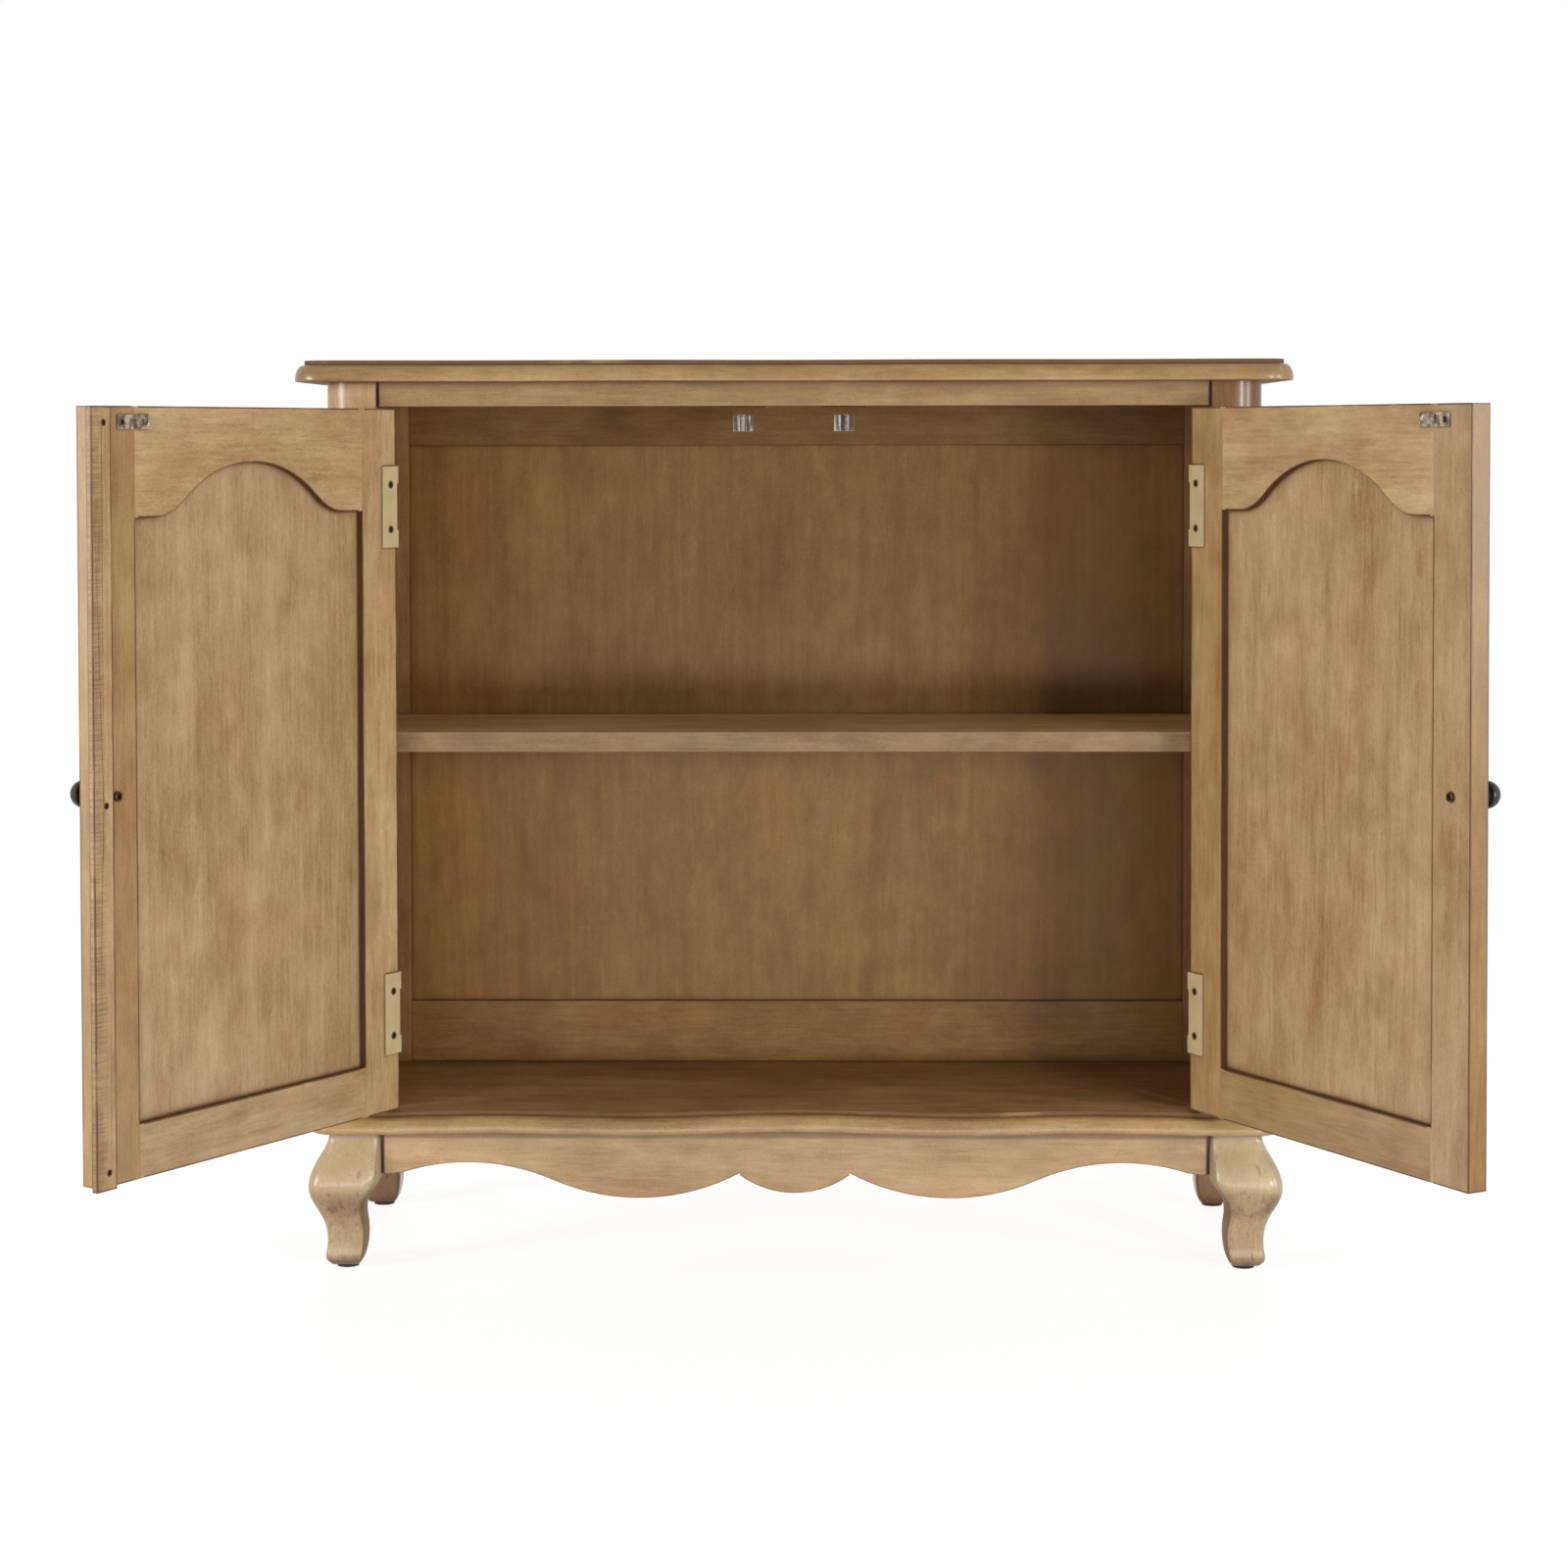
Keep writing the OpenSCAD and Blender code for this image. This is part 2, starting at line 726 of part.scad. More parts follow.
module catch_body(side) {
    x = catch_w / 2;
    z_low = rail_z - catch_h;
    color(steel)
        home()
            difference() {
                catch_place(side)
                    difference() {
                        union() {
                            box(-x, x, catch_set, catch_set + catch_d, z_low, rail_z - flange_t / 2);
                            box(-flange_l / 2, flange_l / 2, catch_set + slot_wall,
                                catch_set + catch_d - slot_wall, rail_z - flange_t, rail_z);
                        }
                        box(-slot_w / 2, slot_w / 2, catch_set - 1,
                            catch_set + catch_d - slot_wall, z_low - 1, strike_z + slot_over);
                        translate([-bore_end, ball_y, strike_z])
                            rotate([0, 90, 0])
                                cylinder(h = 2 * bore_end, d = ball_d + 2 * ball_play);
                    }
                catch_screw_places(side) flat_screw(leaf_screw_l);
            }
}

module left_catch() catch_body(-1);
module right_catch() catch_body(1);

module catch_screws() {
    color(dark_metal)
        home()
            for (side = [-1, 1])
                catch_screw_places(side) flat_screw(leaf_screw_l);
}

module catch_ball(side, half) {
    color(steel)
        home()
            catch_place(side)
                translate([half * ball_x, ball_y, strike_z]) sphere(d = ball_d);
}

module left_catch_left_ball() catch_ball(-1, -1);
module left_catch_right_ball() catch_ball(-1, 1);
module right_catch_left_ball() catch_ball(1, -1);
module right_catch_right_ball() catch_ball(1, 1);

// Frame leaf on the inner side of a post, with the middle of the barrel
module frame_leaf(z) {
    z0 = z + leaf_tab_h + leaf_play;
    difference() {
        union() {
            box(-open_x, leaf_t - open_x, pin_y, pin_y + frame_leaf_w, z0, z0 + frame_leaf_h);
            translate([-pin_x, pin_y, z0]) cylinder(h = frame_leaf_h, d = barrel_d);
        }
        translate([-pin_x, pin_y, z0 - 1]) cylinder(h = frame_leaf_h + 2, d = pin_d);
        frame_leaf_screw_places(z) flat_screw(leaf_screw_l);
    }
}

module frame_leaf_screw_places(z) {
    for (s = [-1, 1])
        translate([leaf_t - open_x, pin_y + frame_leaf_w - frame_screw_in,
                   z + hinge_h / 2 + s * frame_screw_z])
            rotate([0, 90, 0]) children();
}

module frame_leaves(side) {
    color(leaf_colour)
        on_side(side)
            for (z = [low_hinge_z, high_hinge_z])
                frame_leaf(z);
}

module left_frame_leaves() frame_leaves(-1);
module right_frame_leaves() frame_leaves(1);

module frame_leaf_screws() {
    color(dark_metal)
        for (side = [-1, 1], z = [low_hinge_z, high_hinge_z])
            on_side(side) frame_leaf_screw_places(z) flat_screw(leaf_screw_l);
}

module hinge_pins() {
    color(leaf_colour)
        for (side = [-1, 1], z = [low_hinge_z, high_hinge_z])
            on_side(side)
                translate([-pin_x, pin_y, z]) cylinder(h = hinge_h, d = pin_d);
}

// Door leaf: a plate on the back of the door with two ends turned round the edge to the pin
module door_leaf(z) {
    turn = door_x - leaf_t;
    difference() {
        union() {
            box(door_x, door_x + leaf_w, door_back, door_back + leaf_t, z, z + hinge_h);
            for (z0 = [z, z + hinge_h - leaf_tab_h]) {
                box(turn, door_x, 0, door_back + leaf_t, z0, z0 + leaf_tab_h);
                box(turn, door_x + leaf_w, door_back, door_back + leaf_t, z0, z0 + leaf_tab_h);
                translate([0, 0, z0]) cylinder(h = leaf_tab_h, d = barrel_d);
            }
        }
        translate([0, 0, z - 1]) cylinder(h = hinge_h + 2, d = pin_d + 2 * pin_play);
        door_leaf_screw_places(z) flat_screw(leaf_screw_l);
    }
}

module door_leaf_screw_places(z) {
    for (s = [-1, 1])
        translate([door_x + door_screw_in, door_back + leaf_t,
                   z + hinge_h / 2 + s * door_screw_z])
            rotate([-90, 0, 0]) children();
}

module door_leaves(side) {
    color(leaf_colour)
        on_door(side)
            for (z = [low_hinge_z, high_hinge_z])
                door_leaf(z);
}

module leaf_screws(side) {
    color(dark_metal)
        on_door(side)
            for (z = [low_hinge_z, high_hinge_z])
                door_leaf_screw_places(z) flat_screw(leaf_screw_l);
}

module left_door_leaves() door_leaves(-1);
module right_door_leaves() door_leaves(1);
module left_leaf_screws() leaf_screws(-1);
module right_leaf_screws() leaf_screws(1);

module hinge_stile(side) {
    color(wood)
        on_door(side)
            difference() {
                box(door_x, opening_x, door_y, door_back, door_z, door_z + door_h);
                box(opening_x - tongue_l, opening_x + eps, groove_y, panel_back,
                    door_z - 1, door_z + door_h + 1);
                for (z = [low_hinge_z, high_hinge_z])
                    door_leaf_screw_places(z) flat_screw(leaf_screw_l);
            }
}

module lock_stile(side) {
    x0 = opening_x + opening_w;
    color(wood)
        on_door(side)
            difference() {
                box(x0, free_x, door_y, door_back, door_z, door_z + door_h);
                box(x0 - eps, x0 + tongue_l, groove_y, panel_back, door_z - 1, door_z + door_h + 1);
                knob_screw_place() knob_screw();
                strike_screw_places() flat_screw(leaf_screw_l);
                if (side < 0) strip_screw_places() flat_screw(strip_screw_l);
            }
}

module left_hinge_stile() hinge_stile(-1);
module right_hinge_stile() hinge_stile(1);
module left_lock_stile() lock_stile(-1);
module right_lock_stile() lock_stile(1);

// Edge of the arch, drawn out by grow: a crown between two reversed arcs and flat shoulders
function arch_edge(grow) =
    let (half = opening_w / 2, run = half - arch_shoulder, rise = apex_z - shoulder_z,
         turn = 2 * atan(rise / run), reverse_r = run / sin(turn) - crown_r,
         cx = opening_x + half)
    concat(
        [for (j = [0 : 5]) let (a = turn * j / 5, r = reverse_r - grow)
            [cx - run + r * sin(a), shoulder_z + reverse_r - r * cos(a)]],
        [for (j = [1 : 19]) let (a = turn * (1 - j / 10), r = crown_r + grow)
            [cx - r * sin(a), apex_z - crown_r + r * cos(a)]],
        [for (j = [5 : -1 : 0]) let (a = turn * j / 5, r = reverse_r - grow)
            [cx + run - r * sin(a), shoulder_z + reverse_r - r * cos(a)]]
    );

// Shape of the door opening, drawn out by grow on every side
module arched_shape(grow) {
    x0 = opening_x - grow;
    x1 = opening_x + opening_w + grow;
    polygon(concat(
        [[x0, shoulder_z + grow]],
        [for (p = arch_edge(grow)) if (p[0] > x0 && p[0] < x1) p],
        [[x1, shoulder_z + grow], [x1, opening_z - grow], [x0, opening_z - grow]]
    ));
}

// Stands a flat outline in XZ up and gives it a thickness from y0 to y1
module upright(y0, y1) {
    translate([0, y1, 0]) rotate([90, 0, 0]) linear_extrude(y1 - y0) children();
}

module top_rail(side) {
    x1 = opening_x + opening_w;
    reach = tongue_l - panel_play;
    z1 = door_z + door_h;
    color(wood)
        on_door(side)
            difference() {
                union() {
                    box(opening_x, x1, door_y, door_back, shoulder_z, z1);
                    box(opening_x - reach, x1 + reach, groove_y, panel_back, shoulder_z + tongue_l, z1);
                }
                upright(door_y - 1, door_back + 1) arched_shape(0);
                upright(groove_y, panel_back) arched_shape(tongue_l);
                strike_screw_places() flat_screw(leaf_screw_l);
            }
}

module bottom_rail(side) {
    x1 = opening_x + opening_w;
    reach = tongue_l - panel_play;
    color(wood)
        on_door(side)
            difference() {
                union() {
                    box(opening_x, x1, door_y, door_back, door_z, opening_z);
                    box(opening_x - reach, x1 + reach, groove_y, panel_back, door_z,
                        opening_z - tongue_l);
                }
                box(opening_x - 1, x1 + 1, groove_y, panel_back, opening_z - tongue_l,
                    opening_z + 1);
            }
}

module left_top_rail() top_rail(-1);
module right_top_rail() top_rail(1);
module left_bottom_rail() bottom_rail(-1);
module right_bottom_rail() bottom_rail(1);

module door_panel(side) {
    color(wood)
        on_door(side) {
            upright(groove_y, panel_back) arched_shape(tongue_l - panel_play);
            upright(groove_y - field_t, groove_y + eps) arched_shape(-field_border);
        }
}

module left_door_panel() door_panel(-1);
module right_door_panel() door_panel(1);

// Strip on the back of the left door that covers the gap between the doors
module cover_strip() {
    x0 = free_x + strip_lap - strip_w;
    x1 = free_x + strip_lap;
    color(wood_edge)
        on_door(-1)
            difference() {
                box(x0, x1, door_back, door_back + strip_t,
                    door_z - strip_under, door_z + door_h - strip_short);
                box(free_x, x1 + 1, door_back - 1, door_back + strip_gap,
                    door_z - strip_under - 1, door_z + door_h);
                strip_screw_places() flat_screw(strip_screw_l);
            }
}

module strip_screw_places() {
    for (z = [door_z + strip_screw_end, knob_z - strip_screw_mid,
              door_z + door_h - strip_screw_end])
        translate([free_x - strip_screw_in, door_back + strip_t, z])
            rotate([-90, 0, 0]) children();
}

module cover_strip_screws() {
    color(dark_metal)
        on_door(-1) strip_screw_places() flat_screw(strip_screw_l);
}

module knob_screw() {
    pan_screw(door_t + knob_screw_in, knob_screw_d, 2 * knob_screw_d, 0.55 * knob_screw_d);
}

module knob_screw_place() {
    translate([knob_x, door_back, knob_z]) rotate([-90, 0, 0]) children();
}

// Turned knob: a small base, a thin neck and a domed cap
module knob(side) {
    r = knob_d / 2;
    cap_z = knob_out * knob_cap;
    color(dark_metal)
        on_door(side)
            difference() {
                translate([knob_x, door_y, knob_z])
                    rotate([90, 0, 0])
                        rotate_extrude()
                            polygon(concat(
                                [[0, 0]],
                                [for (p = knob_neck) [p[0] * r, p[1] * knob_out]],
                                [for (a = [0 : 11.25 : 90])
                                    [r * cos(a), cap_z + (knob_out - cap_z) * sin(a)]]
                            ));
                knob_screw_place() knob_screw();
            }
}

module left_knob() knob(-1);
module right_knob() knob(1);
module left_knob_screw() color(dark_metal) on_door(-1) knob_screw_place() knob_screw();
module right_knob_screw() color(dark_metal) on_door(1) knob_screw_place() knob_screw();

// Strike: a plate on the back of the door with a round-ended tongue for the catch
module strike(side) {
    color(steel)
        on_door(side)
            difference() {
                union() {
                    box(strike_x - strike_l / 2, strike_x + strike_l / 2, door_back,
                        door_back + strike_t, strike_z - strike_h / 2, strike_z + strike_h / 2);
                    box(strike_x - tongue_w / 2, strike_x + tongue_w / 2, door_back,
                        door_back + tongue_out - tongue_r,
                        strike_z - tongue_r, strike_z + tongue_r);
                    translate([strike_x - tongue_w / 2, door_back + tongue_out - tongue_r,
                               strike_z])
                        rotate([0, 90, 0]) cylinder(h = tongue_w, r = tongue_r);
                }
                strike_screw_places() flat_screw(leaf_screw_l);
            }
}

module strike_screw_places() {
    for (s = [-1, 1])
        translate([strike_x + s * strike_screw_x, door_back + strike_t, strike_z])
            rotate([-90, 0, 0]) children();
}

module strike_screws(side) {
    color(dark_metal)
        on_door(side) strike_screw_places() flat_screw(leaf_screw_l);
}

module left_strike() strike(-1);
module right_strike() strike(1);
module left_strike_screws() strike_screws(-1);
module right_strike_screws() strike_screws(1);

top_board();
front_rail();
back_top_rail();
back_bottom_rail();
back_panel();
left_side_board();
right_side_board();
front_left_post();
front_right_post();
back_left_post();
back_right_post();
bottom_board();
front_apron();
back_apron();
left_side_apron();
right_side_apron();
front_left_foot();
front_right_foot();
back_left_foot();
back_right_foot();
corner_blocks();
foot_glides();
shelf();
shelf_pins();
left_catch();
right_catch();
catch_screws();
left_catch_left_ball();
left_catch_right_ball();
right_catch_left_ball();
right_catch_right_ball();
left_frame_leaves();
right_frame_leaves();
frame_leaf_screws();
hinge_pins();
left_hinge_stile();
left_lock_stile();
left_top_rail();
left_bottom_rail();
left_door_panel();
left_door_leaves();
left_leaf_screws();
left_knob();
left_knob_screw();
left_strike();
left_strike_screws();
cover_strip();
cover_strip_screws();
right_hinge_stile();
right_lock_stile();
right_top_rail();
right_bottom_rail();
right_door_panel();
right_door_leaves();
right_leaf_screws();
right_knob();
right_knob_screw();
right_strike();
right_strike_screws();
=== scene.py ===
# %% [markdown]
# # An accent cabinet in rubbed, glazed wood
# The cabinet is a case on four bowed feet, with a waved top and bottom board, one shelf and two
# doors with arched panels that stand open. Its pieces come in as a finished frame: each board, hinge
# leaf and screw is a node with its real size and place. This file dresses that frame. It gives every
# piece its finish, and makes again, with smoother curves, the few pieces whose shape is all curve.

# %% Load the frame
import json
import math

import bmesh
import bpy
from mathutils import Matrix, Vector


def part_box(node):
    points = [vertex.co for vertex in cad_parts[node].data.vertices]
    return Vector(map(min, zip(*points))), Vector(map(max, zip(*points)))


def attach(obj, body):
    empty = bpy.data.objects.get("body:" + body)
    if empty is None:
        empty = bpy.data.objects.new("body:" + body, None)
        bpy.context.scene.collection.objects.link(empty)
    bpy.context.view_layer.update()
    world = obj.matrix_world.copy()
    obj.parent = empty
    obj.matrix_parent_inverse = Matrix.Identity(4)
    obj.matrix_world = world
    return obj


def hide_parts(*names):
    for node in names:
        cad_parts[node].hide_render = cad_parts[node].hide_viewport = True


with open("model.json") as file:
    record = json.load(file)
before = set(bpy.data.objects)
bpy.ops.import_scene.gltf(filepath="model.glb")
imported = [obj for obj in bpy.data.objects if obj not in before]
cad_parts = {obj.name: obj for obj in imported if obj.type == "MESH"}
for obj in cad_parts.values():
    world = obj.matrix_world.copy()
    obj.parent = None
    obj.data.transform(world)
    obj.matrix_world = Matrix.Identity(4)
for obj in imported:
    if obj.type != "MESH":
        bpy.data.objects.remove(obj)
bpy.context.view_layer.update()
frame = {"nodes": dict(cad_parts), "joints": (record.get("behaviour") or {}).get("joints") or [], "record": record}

NODES = frame["nodes"]
MM = 0.001
SAME_POINT = 0.01 * MM

# %% [markdown]
# ## Writing a finish as a sum
# A finish is a graph of small nodes. Wiring them one by one hides the idea behind it, so one class
# stands for a number in the graph and lets masks be added and multiplied like numbers. A second
# class holds the graph itself and makes every other kind of node. Numbers go through Math nodes.
# Colours and directions never do, because a Math node would turn a colour grey.

# %% Numbers of a finish
class Value:
    """One number of a finish, so that masks can be written as sums."""

    def __init__(self, finish, socket):
        self.finish = finish
        self.socket = socket

    def join(self, operation, first, second, clamp=False):
        settings = {"operation": operation, "use_clamp": clamp}
        return Value(self.finish, self.finish.node("Math", settings, {0: first, 1: second}).outputs[0])

    def __add__(self, other):
        return self.join("ADD", self, other)

    def __sub__(self, other):
        return self.join("SUBTRACT", self, other)

    def __rsub__(self, other):
        return self.join("SUBTRACT", other, self)

    def __mul__(self, other):
        return self.join("MULTIPLY", self, other)

    __radd__ = __add__
    __rmul__ = __mul__

    def size(self):
        return self.join("ABSOLUTE", self, 0.0)

    def larger(self, other):
        return self.join("MAXIMUM", self, other)

    def smaller(self, other):
        return self.join("MINIMUM", self, other)

    def limit(self):
        return self.join("ADD", self, 0.0, clamp=True)

    def between(self, low, high):
        """0 below low, 1 above high and a soft step from one to the other."""
        settings = {"interpolation_type": "SMOOTHSTEP"}
        sockets = {"Value": self, "From Min": low, "From Max": high}
        return Value(self.finish, self.finish.node("MapRange", settings, sockets).outputs[0])


# %% The graph of a finish
MIX_A, MIX_B, MIX_RESULT = 6, 7, 2


class Finish:
    """The node graph of a material or of the world."""

    def __init__(self, owner):
        owner.use_nodes = True
        self.owner = owner
        self.tree = owner.node_tree
        self.tree.nodes.clear()

    def node(self, kind, settings=None, sockets=None):
        made = self.tree.nodes.new("ShaderNode" + kind)
        for name, setting in (settings or {}).items():
            if name == "stops":
                self.set_stops(made.color_ramp, setting)
            else:
                setattr(made, name, setting)
        for name, value in (sockets or {}).items():
            value = value.socket if isinstance(value, Value) else value
            if isinstance(value, bpy.types.NodeSocket):
                self.tree.links.new(value, made.inputs[name])
            else:
                made.inputs[name].default_value = value
        return made

    def set_stops(self, ramp, stops):
        while len(ramp.elements) < len(stops):
            ramp.elements.new(1.0)
        for element, (place, colour) in zip(ramp.elements, stops):
            element.position = place
            element.color = colour

    def number(self, made, output=0):
        return Value(self, made.outputs[output])

    def place(self):
        return self.node("TexCoord").outputs["Object"]

    def axes(self, place):
        """The three parts of a place, by the names of their axes."""
        parts = self.node("SeparateXYZ", None, {0: place})
        return {axis: self.number(parts, i) for i, axis in enumerate("xyz")}

    def joined(self, x, y, z):
        return self.node("CombineXYZ", None, {0: x, 1: y, 2: z}).outputs[0]

    def stretched(self, place, scales):
        made = self.node("VectorMath", {"operation": "MULTIPLY"}, {0: place, 1: scales})
        return made.outputs["Vector"]

    def measure(self, operation, first, second=(0, 0, 0)):
        """A number from vectors: the length of one, or the distance or dot product of two."""
        made = self.node("VectorMath", {"operation": operation}, {0: first, 1: second})
        return self.number(made, "Value")

    def noise(self, place, scale=1.0, detail=2.0, roughness=0.5):
        sockets = {"Vector": place, "Scale": scale, "Detail": detail, "Roughness": roughness}
        return self.number(self.node("TexNoise", None, sockets), "Fac")

    def shut_in(self, reach, samples, inside=False):
        """How far other surfaces close in round a point, or inside: how thin the piece is there."""
        settings = {"samples": samples, "inside": inside, "only_local": inside}
        return 1 - self.number(self.node("AmbientOcclusion", settings, {"Distance": reach}), "AO")

    def mix(self, factor, below, above, blend="MIX"):
        """A colour that goes from one to another as the factor goes from 0 to 1."""
        settings = {"data_type": "RGBA", "blend_type": blend, "clamp_factor": True}
        made = self.node("Mix", settings, {0: factor, MIX_A: below, MIX_B: above})
        return made.outputs[MIX_RESULT]

    def finish_with(self, shader):
        self.node("OutputMaterial", None, {"Surface": shader.outputs[0]})


def new_finish(name):
    return Finish(bpy.data.materials.new(name))


# %% Colours
def srgb(red, green, blue):
    """A colour as a paint chart gives it, 0 to 255, turned into the light that the shader uses."""
    parts = [v / 255 for v in (red, green, blue)]
    return tuple(v / 12.92 if v <= 0.04045 else ((v + 0.055) / 1.055) ** 2.4 for v in parts) + (1.0,)


def grey(level):
    return (level, level, level, 1.0)


def lit(colour, share):
    return tuple(min(1.0, v * share) for v in colour[:3]) + (1.0,)


print("mid wood", [round(v, 3) for v in srgb(168, 138, 100)])

# %% [markdown]
# ## The camera
# The photograph was matched by its known sizes: the width of the case, the height of its lines and
# the ends of the open doors all have to fall on the right pixel. That gives a long lens nearly three
# metres away, a little below the top board. The picture was cropped after it was taken, which a
# camera does with a lens shift, and so uprights stay upright.

# %% Camera
PHOTO_SIZE = 1600
FOCAL_PIXELS = 3247.35
AXIS_ROW = 555.27
SENSOR_MM = 36.0
CAMERA_PLACE = Vector((0.03359, -2.96638, 0.78818))
CAMERA_DOWN, CAMERA_LEFT, CAMERA_ROLL = 1.8658, 0.8117, -0.1017

lens = bpy.data.cameras.new("camera")
lens.sensor_width = SENSOR_MM
lens.lens = SENSOR_MM * FOCAL_PIXELS / PHOTO_SIZE
lens.shift_y = (AXIS_ROW - PHOTO_SIZE / 2) / PHOTO_SIZE
camera = bpy.data.objects.new("camera", lens)
aim = (
    Matrix.Rotation(math.radians(CAMERA_LEFT), 4, "Z")
    @ Matrix.Rotation(math.radians(90 - CAMERA_DOWN), 4, "X")
    @ Matrix.Rotation(math.radians(CAMERA_ROLL), 4, "Z")
)
camera.matrix_world = Matrix.Translation(CAMERA_PLACE) @ aim
bpy.context.scene.collection.objects.link(camera)
bpy.context.scene.camera = camera
bpy.context.scene.view_settings.view_transform = "Standard"
print("lens", round(lens.lens, 2), "mm, shift", round(lens.shift_y, 4))

# %% [markdown]
# ## Floor, world and lamps
# The cabinet stands on white paper in a bright studio. The paper could be lit until it burns out,
# but then the wood would burn out too. Instead the floor and the world show themselves white to the
# camera and to reflections only, and light the cabinet at a plain level. The floor keeps a part that
# answers to the lamps, so the soft shadow under the cabinet stays.

# %% Floor
FLOOR_RADIUS, FLOOR_FADE = 6.0, (0.9, 2.6)
FLOOR_SOFT, FLOOR_SHADE, FLOOR_GLOW = 0.80, 0.30, 0.845


def seen_rays(finish):
    """1 for rays from the camera or off a polished surface, 0 for soft light."""
    rays = finish.node("LightPath")
    names = ("Is Camera Ray", "Is Glossy Ray", "Is Transmission Ray")
    camera_ray, glossy_ray, clear_ray = (finish.number(rays, name) for name in names)
    return (camera_ray + glossy_ray + clear_ray).limit()


paper = new_finish("pale_floor")
reach = paper.measure("LENGTH", paper.place())
soft = paper.node("BsdfDiffuse", None, {"Color": grey(FLOOR_SOFT)})
shade = paper.node("BsdfDiffuse", None, {"Color": grey(FLOOR_SHADE)})
glow = paper.node("Emission", None, {"Color": grey(1.0), "Strength": FLOOR_GLOW})
white = paper.node("Emission", None, {"Color": grey(1.0), "Strength": 1.0})
near_floor = paper.node("AddShader", None, {0: shade.outputs[0], 1: glow.outputs[0]})
shown = paper.node("MixShader", None,
                   {0: reach.between(*FLOOR_FADE), 1: near_floor.outputs[0], 2: white.outputs[0]})
both = paper.node("MixShader", None, {0: seen_rays(paper), 1: soft.outputs[0], 2: shown.outputs[0]})
paper.finish_with(both)

disc = bmesh.new()
bmesh.ops.create_circle(disc, cap_ends=True, radius=FLOOR_RADIUS, segments=96)
floor_mesh = bpy.data.meshes.new("floor")
disc.to_mesh(floor_mesh)
disc.free()
floor_mesh.materials.append(paper.owner)
floor = bpy.data.objects.new("floor", floor_mesh)
bpy.context.scene.collection.objects.link(floor)
print("floor radius", FLOOR_RADIUS)

# %% World
AMBIENT = 0.18
studio = Finish(bpy.data.worlds.new("studio"))
bpy.context.scene.world = studio.owner
dim = studio.node("Background", None, {"Color": grey(1.0), "Strength": AMBIENT})
bright = studio.node("Background", None, {"Color": grey(1.0), "Strength": 1.0})
room = studio.node("MixShader", None,
                   {0: seen_rays(studio), 1: dim.outputs[0], 2: bright.outputs[0]})
studio.node("OutputWorld", None, {"Surface": room.outputs[0]})
print("ambient", AMBIENT)

# %% Lamps
LAMP_TARGET = Vector((0.0, 0.1, 0.45))


def softbox(name, place, width, height, watts, mirrored=True):
    light = bpy.data.lights.new(name, "AREA")
    light.shape = "RECTANGLE"
    light.size = width
    light.size_y = height
    light.energy = watts
    lamp = bpy.data.objects.new(name, light)
    lamp.visible_camera = False
    lamp.visible_glossy = mirrored
    away = (Vector(place) - LAMP_TARGET).normalized()
    lamp.matrix_world = Matrix.Translation(place) @ away.to_track_quat("Z", "Y").to_matrix().to_4x4()
    bpy.context.scene.collection.objects.link(lamp)
    print(name, watts, "W")


softbox("left_lamp", (-3.3, -1.75, 0.85), 1.0, 1.2, 82)
softbox("right_lamp", (3.3, -1.75, 0.85), 0.8, 1.0, 42)
softbox("key_lamp", (2.02, -2.8, 0.75), 0.5, 0.5, 46)
softbox("low_lamp", (0.0, -1.9, 0.05), 3.0, 0.5, 30)
softbox("back_lamp", (0.0, 3.4, 1.0), 2.6, 1.2, 75, mirrored=False)

# %% [markdown]
# ## How the wood is finished
# The real boards are a fine, short-grained timber under a honey wash. A brown glaze was wiped over
# it and stays where a cloth doesn't reach: in corners, under mouldings and in the pores. The edges
# are rubbed paler. Some tones are painted light and shade: faces and boards made darker or paler
# for the light they stand in, and a painted shadow under the nosing of the bottom board. A painted
# picture of wood would not fit over thirty boards, so the finish is worked out in the round from the
# place of each point. Every board gets its own stretch of timber, and its fibres run along its own
# length. The doors stand open at an angle, so their points are first turned back to the closed door,
# where boards run straight.

# %% Tones of the wood
# The dark, the middle and the light of each wash.
TONES = {
    "outer": (srgb(138, 104, 66), srgb(166, 137, 99), srgb(188, 162, 124)),
    "case": (srgb(120, 87, 48), srgb(146, 115, 71), srgb(168, 140, 95)),
    # Partly a darker stain and partly painted shade: the faces inside the case.
    "inner": (srgb(100, 67, 30), srgb(124, 89, 47), srgb(144, 109, 64)),
    "shelf": (srgb(104, 77, 45), srgb(131, 105, 70), srgb(153, 128, 94)),
    # Painted light: the tops of the shelf and of the bottom board, set to the light that falls on them.
    "lit_shelf_top": (srgb(190, 156, 104), srgb(224, 192, 138), srgb(244, 216, 166)),
    "floor": (srgb(117, 84, 46), srgb(150, 114, 69), srgb(176, 142, 94)),
    # Partly glaze and partly painted shade: the steps round the door panels.
    "glazed_shaded_lip": (srgb(42, 21, 8), srgb(60, 34, 15), srgb(84, 53, 28)),
    # Painted shade: the free edges of the doors, each set darker for the light on it.
    "shaded_left_edge": (srgb(136, 101, 58), srgb(159, 125, 80), srgb(179, 147, 101)),
    "shaded_right_edge": (srgb(108, 74, 34), srgb(128, 95, 48), srgb(147, 113, 64)),
    "tan": (srgb(138, 100, 58), srgb(166, 132, 88), srgb(188, 157, 112)),
    # Painted shade: the top of the right front post.
    "brown": (srgb(86, 53, 13), srgb(113, 77, 22), srgb(138, 101, 40)),
    "shaded_foot": (srgb(84, 58, 40), srgb(112, 82, 60), srgb(140, 108, 84)),
    "foot": (srgb(132, 106, 74), srgb(158, 134, 102), srgb(196, 178, 140)),
    "raw": (srgb(164, 132, 88), srgb(190, 160, 116), srgb(208, 180, 138)),
}
